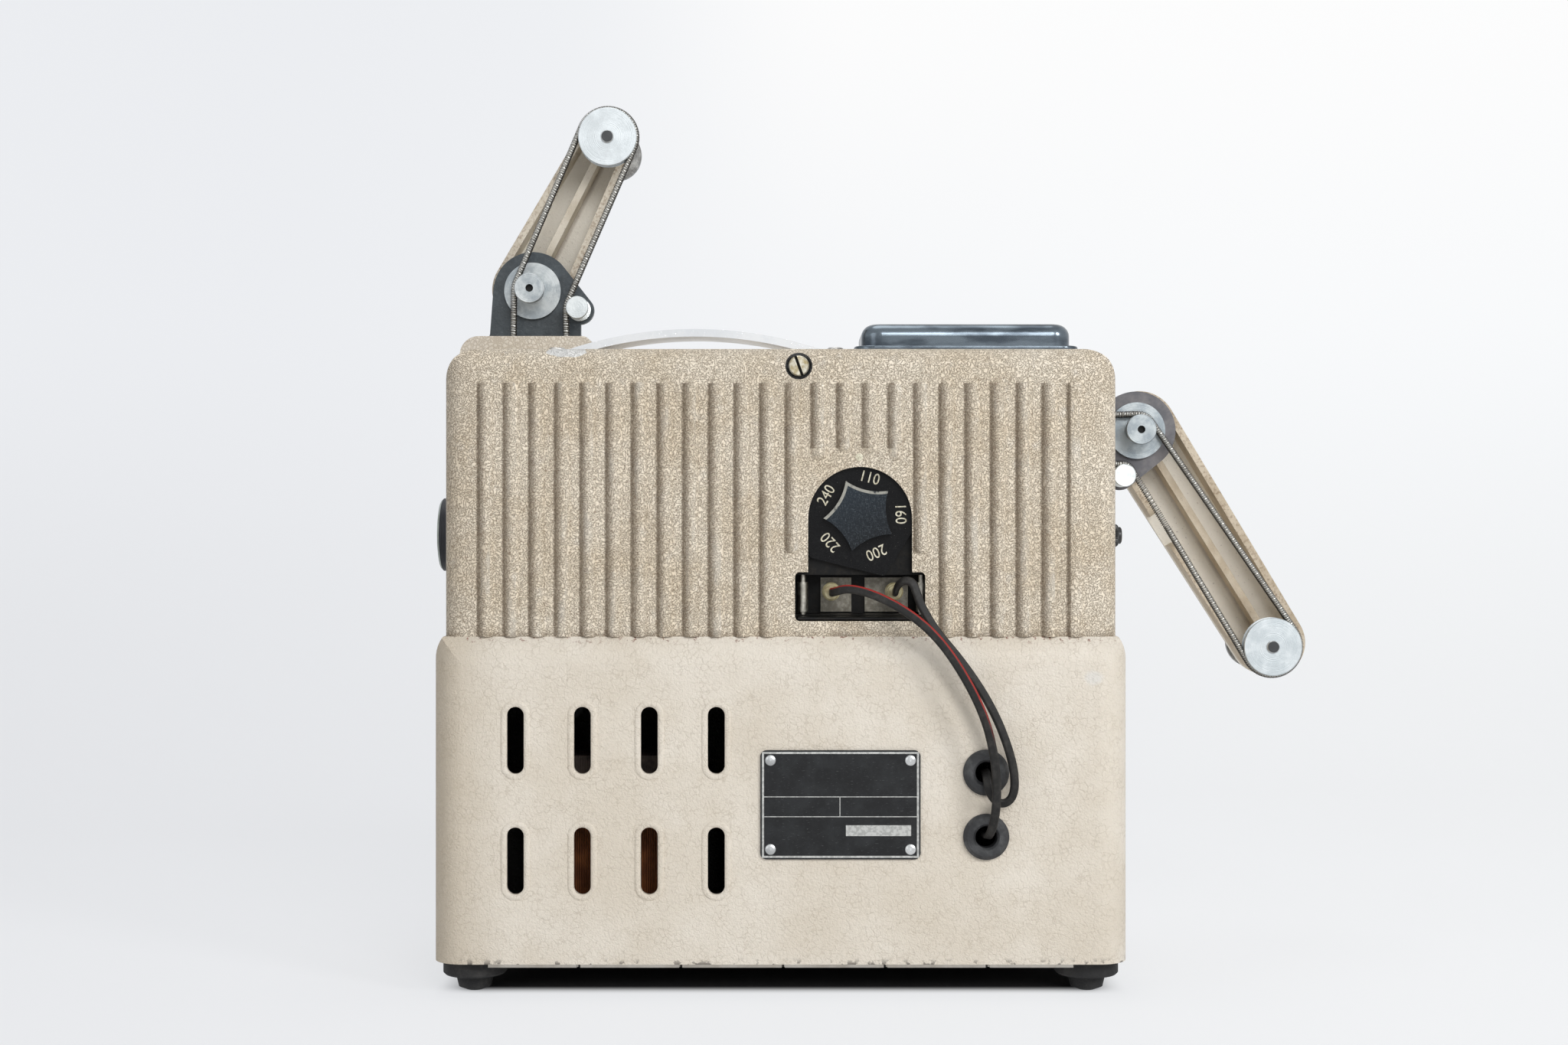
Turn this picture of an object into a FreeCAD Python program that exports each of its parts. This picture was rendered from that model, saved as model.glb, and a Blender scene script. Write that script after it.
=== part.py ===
import FreeCAD, Part
import math
import os

import Sketcher
from FreeCAD import Placement, Rotation, Vector

# A folding-arm cine projector, +X to the right of its rear view, +Y towards the operator, +Z up.
# The origin is the centre of the base plate's underside.

# Driving sizes in millimetres, leans and turns in degrees
SIZES = [
    # case
    ("case_width", 263.2),
    ("case_depth", 125.0),
    ("case_height", 242.4),
    ("rear_depth", 70.0),
    ("cover_height", 112.8),
    ("skirt_step", 4.0),
    ("wall", 2.5),
    ("front_wall", 4.0),
    ("casting_wall", 3.0),
    ("casting_lip", 1.6),
    ("cover_corner", 13.7),
    ("cover_edge", 8.0),
    ("shoulder_drop", 5.1),
    ("shoulder_round", 17.0),
    ("base_thick", 2.5),
    ("base_inset", 13.7),
    ("base_margin", 2.5),
    ("hump_rise", 10.4),
    ("hump_width", 54.4),
    ("casting_corner", 14.0),
    ("hump_corner", 8.0),
    ("casting_edge", 3.0),
    # ribs of the rear cover
    ("rib_pitch", 10.0),
    ("rib_margin", 16.6),
    ("rib_width", 6.0),
    ("rib_rise", 1.6),
    ("rib_top_gap", 12.3),
    ("rib_arch_gap", 5.4),
    ("rib_arch_bow", 3.0),
    ("rib_side_drop", 13.8),
    # voltage selector
    ("selector_x", 31.0),
    ("selector_drop", 66.9),
    ("selector_radius", 20.3),
    ("bay_width", 50.8),
    ("bay_drop", 20.8),
    ("bay_height", 19.1),
    ("bay_corner", 1.8),
    ("lip_gap", 1.1),
    ("dial_lift", 1.5),
    ("dial_radius", 25.8),
    ("dial_thick", 1.9),
    ("dial_turn", 4.0),
    ("star_radius", 14.4),
    ("star_waist", 10.0),
    ("star_bow", 22.5),
    ("star_height", 4.4),
    ("star_turn", 5.0),
    ("block_gap", 2.7),
    ("block_depth", 22.3),
    ("bay_pocket", 14.3),
    ("strip_thick", 1.5),
    ("plug_drop", 7.8),
    ("plug_left", 19.9),
    ("plug_right", 44.6),
    ("plug_radius", 3.6),
    ("plug_tip", 1.6),
    ("clip_radius", 2.1),
    ("clip_pin", 1.3),
    # lower housing details
    ("vent_width", 6.6),
    ("vent_height", 26.1),
    ("vent_pitch", 26.0),
    ("vent_inset", 32.6),
    ("vent_row_pitch", 46.8),
    ("vent_drop", 40.1),
    ("plate_width", 62.1),
    ("plate_height", 42.3),
    ("plate_thick", 0.8),
    ("plate_x", 23.2),
    ("plate_z", 64.6),
    ("plate_corner", 2.4),
    ("rivet_inset", 3.9),
    ("rivet_head", 2.2),
    ("rivet_shank", 1.2),
    ("grommet_x", 79.7),
    ("grommet_high_z", 77.1),
    ("grommet_low_z", 52.2),
    ("grommet_radius", 8.9),
    ("grommet_neck", 6.5),
    ("grommet_bore", 4.3),
    ("grommet_thick", 2.5),
    ("lead_radius", 1.5),
    # feet and screws
    ("foot_inset", 14.6),
    ("foot_set", 13.5),
    ("foot_radius", 12.5),
    ("foot_height", 10.4),
    ("foot_step", 4.1),
    ("foot_dome", 7.6),
    ("foot_tip", 3.3),
    ("screw_x", 7.1),
    ("screw_drop", 7.2),
    ("screw_head", 4.0),
    ("screw_sink", 4.8),
    ("screw_shank", 2.0),
    # handle and lid
    ("handle_x", -35.0),
    ("handle_set", 50.5),
    ("handle_span", 123.0),
    ("handle_arch", 106.6),
    ("handle_rise", 9.0),
    ("handle_width", 24.0),
    ("handle_thick", 3.1),
    ("handle_tab", 1.2),
    ("handle_stem", 2.2),
    ("handle_head", 3.4),
    ("lid_left", 29.3),
    ("lid_width", 89.5),
    ("lid_depth", 50.0),
    ("lid_height", 11.0),
    ("lid_flange", 2.0),
    ("lid_inset", 3.0),
    ("lid_wall", 2.0),
    ("lid_gap", 0.1),
    ("hinge_radius", 1.4),
    ("hinge_pin", 0.7),
    ("hinge_play", 0.05),
    ("hinge_set", 2.0),
    ("hinge_inset", 16.0),
    ("knuckle_width", 8.0),
    ("ear_width", 3.0),
    ("ear_gap", 0.3),
    ("vent_margin", 12.0),
    # arms
    ("arm_thick", 27.5),
    ("arm_channel", 17.0),
    ("arm_shift", 2.3),
    ("arm_wall", 3.0),
    ("arm_web", 3.0),
    ("arm_rib_rise", 12.0),
    ("arm_rib_width", 3.0),
    ("arm_gap", 0.5),
    ("pivot_boss", 8.0),
    ("toe_boss", 6.0),
    ("upper_pivot_inset", 24.3),
    ("upper_pivot_rise", 31.7),
    ("upper_lean", 27.0),
    ("upper_reach", 72.9),
    ("upper_heel", 16.2),
    ("upper_toe", 11.6),
    ("lower_pivot_out", 18.1),
    ("lower_pivot_drop", 28.6),
    ("lower_lean", 148.25),
    ("lower_reach", 109.5),
    ("lower_heel", 16.2),
    ("lower_toe", 14.6),
    ("gap_near", 35.6),
    ("gap_far", 50.7),
    ("gap_round", 5.0),
    ("bracket_set", 4.5),
    ("bracket_thick", 3.0),
    ("bracket_radius", 17.0),
    ("bracket_ear", 6.1),
    ("bracket_foot", 2.5),
    ("bracket_foot_depth", 19.5),
    ("upper_idler_out", 20.3),
    ("upper_idler_drop", 8.2),
    ("lower_idler_back", 7.0),
    ("lower_idler_drop", 19.6),
    ("idler_flange", 4.85),
    ("idler_barrel", 3.4),
    ("idler_pin", 2.0),
    ("pivot_barrel", 6.45),
    ("pivot_groove", 5.2),
    ("pivot_flange", 12.2),
    ("pivot_set", 14.0),
    ("pivot_pin", 4.0),
    ("pivot_pin_tip", 3.0),
    ("pin_head", 8.0),
    ("reel_pulley", 12.5),
    ("reel_groove", 10.4),
    ("reel_pulley_thick", 5.5),
    ("spindle_shaft", 2.75),
    ("hub_radius", 11.5),
    ("hub_gap", 3.5),
    ("hub_thick", 4.0),
    ("spindle_nose", 3.95),
    ("nose_length", 14.0),
    ("upper_belt_set", 9.0),
    ("lower_belt_set", 4.5),
    ("belt_radius", 1.5),
    ("belt_gap", 0.3),
    ("coil_turns", 28.0),
    ("coil_pitch", 0.9),
    ("coil_wire", 0.225),
    ("coil_tail", 0.9),
    ("hook_length", 3.4),
    ("hook_taper", 1.6),
    # drive
    ("axis_drop", 73.8),
    ("film_out", 16.0),
    ("motor_set", 50.0),
    ("drive_inset", 28.4),
    ("shaft_radius", 3.0),
    ("running_gap", 0.05),
    ("motor_inset", 18.6),
    ("worm_radius", 5.7),
    ("worm_length", 20.0),
    ("wheel_radius", 26.0),
    ("wheel_gap", 0.3),
    ("wheel_thick", 6.0),
    ("tooth_depth", 2.0),
    ("stator_left", 25.0),
    ("stator_length", 55.0),
    ("stator_radius", 27.0),
    ("bearing_gap", 15.0),
    ("bearing_thick", 4.0),
    ("rotor_radius", 17.0),
    ("rotor_gap", 0.6),
    ("fan_left", -22.0),
    ("fan_width", 12.0),
    ("fan_radius", 24.0),
    ("pulley_out", 22.5),
    ("shutter_pulley", 4.2),
    ("pulley_flange", 0.9),
    ("shutter_belt_width", 4.0),
    ("shutter_belt_thick", 1.1),
    ("shutter_out", 14.0),
    ("shutter_set", 10.5),
    ("shutter_radius", 32.0),
    ("shutter_thick", 1.2),
    ("inch_knob_out", 1.4),
    ("inch_knob_radius", 4.85),
    ("inch_knob_length", 7.3),
    ("sprocket_radius", 9.7),
    ("sprocket_width", 10.0),
    ("sprocket_tip", 0.5),
    ("boss_radius", 6.0),
    ("boss_length", 30.5),
    # film side
    ("gate_set", 11.7),
    ("gate_thick", 25.5),
    ("gate_half", 36.0),
    ("gate_depth", 33.5),
    ("holder_thick", 14.0),
    ("holder_half", 19.5),
    ("barrel_radius", 12.0),
    ("barrel_bore", 9.5),
    ("barrel_out", 18.4),
    ("barrel_gap", 5.5),
    ("rim_radius", 16.5),
    ("rim_length", 16.0),
    ("lamp_out", 33.0),
    ("lamp_radius", 11.0),
    ("house_width", 66.0),
    ("house_depth", 41.5),
    ("house_drop", 50.6),
    ("house_height", 104.0),
    ("house_wall", 2.0),
    ("house_round", 12.0),
    ("condenser_radius", 11.0),
    ("condenser_thick", 5.0),
    ("knob_x", 85.0),
    ("knob_z", 60.0),
    ("knob_radius", 14.0),
    # transformer
    ("core_inset", 33.6),
    ("core_width", 60.0),
    ("core_set", 24.5),
    ("core_depth", 40.0),
    ("core_height", 78.0),
    ("core_limb", 15.0),
    ("coil_overhang", 11.0),
]

document = FreeCAD.newDocument("projector")
sheet = document.addObject("Spreadsheet::Sheet", "Sizes")


class Size:
    """A number and the sheet formula that gives it."""

    def __init__(self, number, formula):
        self.number = number
        self.formula = formula

    def __add__(self, other):
        other = sized(other)
        return Size(self.number + other.number, f"({self.formula} + {other.formula})")

    def __sub__(self, other):
        other = sized(other)
        return Size(self.number - other.number, f"({self.formula} - {other.formula})")

    def __mul__(self, other):
        other = sized(other)
        return Size(self.number * other.number, f"({self.formula} * {other.formula})")

    def __truediv__(self, other):
        other = sized(other)
        return Size(self.number / other.number, f"({self.formula} / {other.formula})")

    def __radd__(self, other):
        return sized(other) + self

    def __rsub__(self, other):
        return sized(other) - self

    def __rmul__(self, other):
        return sized(other) * self

    def __neg__(self):
        return Size(-self.number, f"(0 - {self.formula})")


def sized(value):
    return value if isinstance(value, Size) else Size(float(value), f"({float(value)})")


def sine(angle):
    angle = sized(angle)
    return Size(math.sin(math.radians(angle.number)), f"sin({angle.formula} * 1deg)")


def cosine(angle):
    angle = sized(angle)
    return Size(math.cos(math.radians(angle.number)), f"cos({angle.formula} * 1deg)")


def root(value):
    return Size(math.sqrt(value.number), f"sqrt({value.formula})")


class Sheet:
    """The driving sizes by name, each bound to its cell."""

    def __init__(self, rows):
        for row, (alias, number) in enumerate(rows, start=1):
            sheet.set(f"A{row}", alias)
            sheet.set(f"B{row}", str(number))
            sheet.setAlias(f"B{row}", alias)
            setattr(self, alias, Size(number, f"Sizes.{alias}"))


s = Sheet(SIZES)
document.recompute()

# The case's faces
half_width = s.case_width / 2
rear = -s.case_depth / 2
front = s.case_depth / 2
seam = rear + s.rear_depth
skirt_half = half_width + s.skirt_step
housing_rear = rear - s.skirt_step
housing_low = s.base_thick
front_inner = front - s.front_wall
hump_top = s.case_height + s.hump_rise

# Heights that follow the case's height
s.skirt_height = s.case_height - s.cover_height
s.selector_z = s.case_height - s.selector_drop
s.bay_top = s.selector_z - s.bay_drop
s.bay_low = s.bay_top - s.bay_height
s.plug_z = s.bay_top - s.plug_drop
s.screw_z = s.case_height - s.screw_drop
s.vent_high_z = s.skirt_height - s.vent_drop
s.vent_low_z = s.vent_high_z - s.vent_row_pitch
s.upper_pivot_z = s.case_height + s.upper_pivot_rise
s.upper_idler_z = s.upper_pivot_z - s.upper_idler_drop
s.lower_pivot_z = s.case_height - s.lower_pivot_drop
s.lower_idler_z = s.lower_pivot_z - s.lower_idler_drop
s.axis_z = s.case_height - s.axis_drop
s.house_low = s.axis_z - s.house_drop
s.house_top = s.house_low + s.house_height

# Places along the case's width, from its left and right sides
s.rib_first = s.rib_margin - half_width
s.vent_first = s.vent_inset - skirt_half
s.core_left = s.core_inset - half_width
s.foot_x = skirt_half - s.foot_inset
s.hump_right = s.hump_width - skirt_half
s.upper_pivot_x = s.upper_pivot_inset - half_width
s.upper_idler_x = s.upper_pivot_x + s.upper_idler_out
s.lower_pivot_x = skirt_half + s.lower_pivot_out
s.lower_idler_x = s.lower_pivot_x - s.lower_idler_back
s.inch_knob_x = skirt_half + s.inch_knob_out
s.motor_left = s.motor_inset - half_width
s.drive_x = s.drive_inset - half_width
s.gate_face = s.drive_x + s.gate_set
s.shutter_x = s.gate_face + s.shutter_out
s.pulley_x = s.shutter_x + s.pulley_out
s.lamp_x = s.gate_face + s.gate_thick + s.lamp_out
s.house_right = s.gate_face + s.gate_thick + s.house_width
s.barrel_left = -skirt_half - s.barrel_out
s.barrel_right = s.gate_face - s.barrel_gap

# Depths that follow the front and rear faces
s.film_y = front + s.film_out
s.sprocket_end = s.film_y + s.sprocket_width / 2 + s.sprocket_tip
s.boss_rear = front - s.boss_length
s.motor_y = front - s.motor_set
s.shutter_y = front - s.shutter_set
s.arm_rear = front - s.arm_thick
s.arm_back = s.arm_rear + s.arm_channel
s.bracket_rear = s.arm_rear - s.bracket_set
s.pivot_face = s.bracket_rear - s.pivot_set
s.upper_belt_y = s.bracket_rear - s.upper_belt_set
s.lower_belt_y = s.bracket_rear - s.lower_belt_set
s.foot_y = front - s.foot_set
s.handle_y = rear + s.handle_set
s.core_rear = rear + s.core_set

# Places that many pieces share
dial_z = s.selector_z + s.dial_lift
block_rear = rear + s.wall + s.block_gap
pocket_floor = block_rear + s.bay_pocket
drive_z = s.axis_z + s.worm_radius + s.wheel_gap + s.wheel_radius
takeup_z = s.axis_z - (drive_z - s.axis_z)
belt_line = s.belt_radius + s.belt_gap
hub_rear = front + s.hub_gap
pivot_end = s.bracket_rear - 0.5
post_half = 8.5

AXES = {
    "X": Rotation(Vector(0, 1, 0), 90),
    "Y": Rotation(Vector(1, 0, 0), -90),
    "Z": Rotation(),
}
PLANES = {"X": "YZ_Plane", "Y": "XZ_Plane", "Z": "XY_Plane"}

nodes = {}


def place(item, at, rotation=None):
    """Binds an object's place to the sheet and turns it by a fixed rotation."""
    item.Placement = Placement(Vector(*[sized(v).number for v in at]), rotation or Rotation())
    for letter, value in zip("xyz", at):
        item.setExpression(f"Placement.Base.{letter}", sized(value).formula)
    return item


def swing(item, at, lean):
    """Binds an object's place, and its turn about the Y axis, to the sheet."""
    place(item, at, Rotation(Vector(0, 1, 0), lean.number))
    item.setExpression("Placement.Rotation.Angle", f"{lean.formula} * 1deg")
    return item


def bind(item, **values):
    for name, value in values.items():
        item.setExpression(name, sized(value).formula)
    return item


def add(kind, label):
    item = document.addObject(kind, label)
    item.Label = label
    return item


def box(label, low, high):
    item = add("Part::Box", label)
    size = [sized(b) - sized(a) for a, b in zip(low, high)]
    bind(item, Length=size[0], Width=size[1], Height=size[2])
    return place(item, low)


def rod(label, axis, start, radius, length):
    """A cylinder along an axis, from its start."""
    item = add("Part::Cylinder", label)
    bind(item, Radius=radius, Height=length)
    return place(item, start, AXES[axis])


def ball(label, centre, radius):
    item = add("Part::Sphere", label)
    bind(item, Radius=radius)
    return place(item, centre)


def sketch_outline(body, plane, outline):
    """A closed outline of straight edges on one of the body's own planes, every corner bound."""
    support = [f for f in body.Origin.OriginFeatures if f.Role == plane][0]
    sketch = body.newObject("Sketcher::SketchObject", "outline")
    sketch.AttachmentSupport = (support, [""])
    sketch.MapMode = "FlatFace"
    corners = [(sized(u), sized(v)) for u, v in outline]
    count = len(corners)
    for k in range(count):
        a, b = corners[k], corners[(k + 1) % count]
        start, end = Vector(a[0].number, a[1].number, 0), Vector(b[0].number, b[1].number, 0)
        sketch.addGeometry(Part.LineSegment(start, end))
    for k in range(count):
        sketch.addConstraint(Sketcher.Constraint("Coincident", k, 2, (k + 1) % count, 1))
    for k, corner in enumerate(corners):
        for kind, value in zip(("DistanceX", "DistanceY"), corner):
            index = sketch.addConstraint(Sketcher.Constraint(kind, -1, 1, k, 1, value.number))
            sketch.setExpression(f"Constraints[{index}]", value.formula)
    return sketch


def turned(label, axis, at, profile):
    """A lathe-turned piece: its profile is (radius, distance along the axis) from its place."""
    body = add("PartDesign::Body", label)
    sketch = sketch_outline(body, "XZ_Plane", profile)
    revolution = body.newObject("PartDesign::Revolution", "turning")
    revolution.Profile = sketch
    revolution.ReferenceAxis = (sketch, ["V_Axis"])
    revolution.Angle = 360
    return place(body, at, AXES[axis])


def across(point, axis):
    """The two coordinates of a point that are square to an axis, and the one along it."""
    return {
        "X": (point.y, point.z, point.x),
        "Y": (point.x, point.z, point.y),
        "Z": (point.x, point.y, point.z),
    }[axis]


def edges_where(shape, test):
    return [f"Edge{k}" for k, edge in enumerate(shape.Edges, start=1) if test(edge)]


def fillet(body, base, names, radius):
    feature = body.newObject("PartDesign::Fillet", "rounding")
    feature.Base = (base, names)
    feature.Radius = sized(radius).number
    bind(feature, Radius=radius)
    document.recompute()
    return feature


def prism(label, axis, outline, low, high, rounds=None, soft_low=None, soft_high=None):
    """An outline pushed along an axis from low to high.

    rounds gives corner radii by corner number; soft_low and soft_high round the two end faces' edges.
    """
    body = add("PartDesign::Body", label)
    sketch = sketch_outline(body, PLANES[axis], outline)
    pad = body.newObject("PartDesign::Pad", "push")
    pad.Profile = sketch
    length = sized(high) - sized(low)
    bind(pad, Length=length)
    document.recompute()
    last = pad
    by_radius = {}
    for corner, radius in (rounds or {}).items():
        by_radius.setdefault(sized(radius).formula, (radius, []))[1].append(outline[corner])
    for radius, corners in by_radius.values():
        places = [(sized(u).number, sized(v).number) for u, v in corners]

        def on_corner(edge):
            ends = [across(v.Point, axis)[:2] for v in edge.Vertexes]
            return len(ends) == 2 and any(
                all(math.dist(end, spot) < 1e-4 for end in ends) for spot in places
            )

        last = fillet(body, last, edges_where(last.Shape, on_corner), radius)
    # The XZ plane pushes towards -Y, so its near end is the high one
    ends = {"low": 0.0, "high": length.number} if axis != "Y" else {"low": -length.number, "high": 0.0}
    for end, radius in (("low", soft_low), ("high", soft_high)):
        if radius is not None:

            def on_end(edge):
                return all(abs(across(v.Point, axis)[2] - ends[end]) < 1e-4 for v in edge.Vertexes)

            last = fillet(body, last, edges_where(last.Shape, on_end), radius)
    start = sized(high) if axis == "Y" else sized(low)
    at = {"X": (start, 0, 0), "Y": (0, start, 0), "Z": (0, 0, start)}[axis]
    return place(body, at)


def patterned(label, axis, at, profile, tooth, tooth_low, tooth_high, count, cut=False):
    """A turned piece with a tooth, blade or flute repeated round its axis."""
    body = turned(label, axis, at, profile)
    document.recompute()
    sketch = sketch_outline(body, "XY_Plane", tooth)
    bind(sketch, **{"AttachmentOffset.Base.z": tooth_low})
    feature = body.newObject("PartDesign::Pocket" if cut else "PartDesign::Pad", "tooth")
    feature.Profile = sketch
    bind(feature, Length=sized(tooth_high) - sized(tooth_low))
    if cut:
        feature.Reversed = True
    document.recompute()
    pattern = body.newObject("PartDesign::PolarPattern", "round")
    pattern.Originals = [feature]
    pattern.Axis = (sketch, ["N_Axis"])
    pattern.Angle = 360
    pattern.Occurrences = count
    body.Tip = pattern
    return body


def joined(label, pieces):
    item = add("Part::MultiFuse", label)
    item.Shapes = pieces
    return item


def shared(label, pieces):
    item = add("Part::MultiCommon", label)
    item.Shapes = pieces
    return item


def cut(label, base, tools):
    item = add("Part::Cut", label)
    item.Base = base
    item.Tool = tools[0] if len(tools) == 1 else joined(f"{label}_tools", tools)
    return item


def group(label, pieces):
    item = add("Part::Compound", label)
    item.Links = pieces
    return item


def node(label, item):
    item.Label = label
    nodes[label] = item
    return item


def solid(label, shape):
    """A piece whose shape comes from a route, set from the sheet's numbers."""
    item = add("Part::Feature", label)
    item.Shape = shape
    return item


def rectangle(left, low, right, high):
    return [(left, low), (right, low), (right, high), (left, high)]


# Case
def shell_form(label, half, rear_y, seam_y, low, high, corner, edge, side=None):
    """A cover's outer or inner form: its three outlines pushed across each other."""
    side = side or rectangle(-half, low, half, high)
    rounds = {2: corner, 3: corner}
    if len(side) > 4:
        rounds = {1: corner, 4: corner}
    face = prism(f"{label}_face", "Y", side, rear_y, seam_y, rounds)
    plan = rectangle(-half, rear_y, half, seam_y)
    flank = rectangle(rear_y, low, seam_y, high)
    return shared(
        label,
        [
            face,
            prism(f"{label}_plan", "Z", plan, low, high, {0: edge, 1: edge}),
            prism(f"{label}_flank", "X", flank, -half, half, {3: edge}),
        ],
    )


def rib_forms():
    """The cover's upright ribs, each a bead with a round top, those over the selector cut short."""
    bow = (s.rib_width * s.rib_width / 4 + s.rib_rise * s.rib_rise) / (2 * s.rib_rise)
    line = rear - s.rib_rise + bow
    reach = s.rib_width / 2
    high = s.case_height - s.rib_top_gap - reach
    arch_low = s.selector_z + s.selector_radius + s.rib_arch_gap
    side_low = s.selector_z - s.rib_side_drop
    count = 1 + int((s.case_width.number - 2 * s.rib_margin.number) / s.rib_pitch.number)
    beads = []
    for k in range(count):
        x = s.rib_first + s.rib_pitch * k
        away = abs(x.number - s.selector_x.number)
        short = True
        if away < s.selector_radius.number / 2:
            low = arch_low + reach
        elif away < s.selector_radius.number:
            low = arch_low - s.rib_arch_bow + reach
        elif away < s.bay_width.number / 2 + reach.number:
            low = side_low + reach
        else:
            low = s.skirt_height
            short = False
        beads.append(rod("rib_bead", "Z", (x, line, low), bow, high - low))
        beads.append(ball("rib_top", (x, line, high), bow))
        if short:
            beads.append(ball("rib_end", (x, line, low), bow))
    skin = box(
        "rib_skin",
        (-half_width, rear - s.rib_rise - 1, s.skirt_height),
        (half_width, rear + s.wall / 2, s.case_height),
    )
    return shared("ribs", [joined("rib_beads", beads), skin])


def selector_opening():
    left, right = s.selector_x - s.bay_width / 2, s.selector_x + s.bay_width / 2
    near, far = rear - 5, rear + s.wall + 1
    bay = rectangle(left, s.bay_low, right, s.bay_top)
    return joined(
        "selector_opening",
        [
            rod("arch", "Y", (s.selector_x, near, s.selector_z), s.selector_radius, far - near),
            box(
                "arch_legs",
                (s.selector_x - s.selector_radius, near, s.bay_top - 1),
                (s.selector_x + s.selector_radius, far, s.selector_z),
            ),
            prism("plug_bay", "Y", bay, near, far, {k: s.bay_corner for k in range(4)}),
        ],
    )


def build_rear_cover():
    outer = shell_form(
        "cover_outer", half_width, rear, seam, s.skirt_height, s.case_height, s.cover_corner, s.cover_edge
    )
    inner = shell_form(
        "cover_inner",
        half_width - s.wall,
        rear + s.wall,
        seam + 1,
        s.skirt_height - 1,
        s.case_height - s.wall,
        s.cover_corner - s.wall,
        s.cover_edge - s.wall,
    )
    shell = cut("cover_shell", outer, [inner])
    lid_hole = box(
        "lid_hole",
        (s.lid_left + s.vent_margin, lid_rear() + s.vent_margin, s.case_height - s.wall - 1),
        (s.lid_left + s.lid_width - s.vent_margin, lid_front() - s.vent_margin, s.case_height + 1),
    )
    tools = [
        selector_opening(),
        rod("screw_sink", "Y", (s.screw_x, rear - 5, s.screw_z), s.screw_sink, 5 + s.wall / 2),
        rod("screw_way", "Y", (s.screw_x, rear - 5, s.screw_z), s.screw_shank, 6 + s.wall),
        lid_hole,
    ]
    for x in handle_pin_places():
        tools.append(rod("pin_hole", "Z", (x, s.handle_y, s.case_height - s.wall - 1), 1.5, s.wall + 2))
    ears, ear_holes = hinge_ears()
    node(
        "rear_cover",
        cut("rear_cover", joined("ribbed_shell", [shell, rib_forms(), *ears]), tools + ear_holes),
    )


def housing_form(label, half, rear_y, seam_y, low, step_down):
    """The housing's outer or inner form, its shoulder running round three sides."""
    top = s.skirt_height
    bend = top - s.shoulder_drop - step_down
    soft = s.shoulder_round
    side = [(-half, low), (half, low), (half, bend), (half - s.skirt_step, top),
            (s.skirt_step - half, top), (-half, bend)]
    flank = [(rear_y, low), (seam_y, low), (seam_y, top), (rear_y + s.skirt_step, top), (rear_y, bend)]
    edge = s.cover_edge + s.skirt_step - (skirt_half - half)
    plan = rectangle(-half, rear_y, half, seam_y)
    return shared(
        label,
        [
            prism(f"{label}_face", "Y", side, rear_y, seam_y, {2: soft, 5: soft}),
            prism(f"{label}_flank", "X", flank, -half, half, {4: soft}),
            prism(f"{label}_plan", "Z", plan, low, top, {0: edge, 1: edge}),
        ],
    )


def vent_slot(x, z):
    near, depth = housing_rear - 5, s.wall + 10
    reach = (s.vent_height - s.vent_width) / 2
    radius = s.vent_width / 2
    return [
        box("vent_way", (x - radius, near, z - reach), (x + radius, near + depth, z + reach)),
        rod("vent_head", "Y", (x, near, z + reach), radius, depth),
        rod("vent_foot", "Y", (x, near, z - reach), radius, depth),
    ]


def rivet_places():
    across_x = s.plate_width / 2 - s.rivet_inset
    across_z = s.plate_height / 2 - s.rivet_inset
    return [(s.plate_x + i * across_x, s.plate_z + j * across_z) for i in (-1, 1) for j in (-1, 1)]


def build_lower_housing():
    outer = housing_form("housing_outer", skirt_half, housing_rear, seam, housing_low, sized(0))
    inner = housing_form(
        "housing_inner", skirt_half - s.wall, housing_rear + s.wall, seam + 1, housing_low + s.wall,
        sized(1.2)
    )
    floor_way = box(
        "housing_floor_way",
        (-half_width + 23, rear + 18, housing_low - 1),
        (half_width - 23, seam + 1, housing_low + s.wall + 1),
    )
    tools = [inner, floor_way]
    for k in range(4):
        for z in (s.vent_low_z, s.vent_high_z):
            tools += vent_slot(s.vent_first + s.vent_pitch * k, z)
    for z in (s.grommet_low_z, s.grommet_high_z):
        tools.append(
            rod("grommet_way", "Y", (s.grommet_x, housing_rear - 1, z), s.grommet_neck, s.wall + 2)
        )
    for x, z in rivet_places():
        tools.append(rod("rivet_way", "Y", (x, housing_rear - 1, z), s.rivet_shank, s.wall + 2))
    node("lower_housing", cut("lower_housing", outer, tools))


def bearing_walls():
    """Cast walls and posts inside the front casting that carry the two lengthwise shafts."""
    low, high = s.axis_z - post_half, s.axis_z + post_half
    back = s.motor_y - post_half + 1
    right = s.stator_left + s.stator_length + s.bearing_gap
    spans = [
        (s.motor_left - 9, s.motor_left - 3), (s.pulley_x - 11, s.pulley_x - 7),
        (right, right + s.bearing_thick),
    ]
    walls = [box("bearing_wall", (a, back, low), (b, front_inner + 1, high)) for a, b in spans]
    for z in (drive_z, takeup_z):
        depth = front_inner + 1 - s.boss_rear
        walls.append(rod("sprocket_boss", "Y", (s.drive_x, s.boss_rear, z), s.boss_radius, depth))
    tie = 5.0
    walls.append(
        box(
            "cover_tie",
            (s.screw_x - tie, rear + s.cover_edge, s.screw_z - tie),
            (s.screw_x + tie, front_inner + 1, s.case_height - s.wall - 0.5),
        )
    )
    return walls


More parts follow.
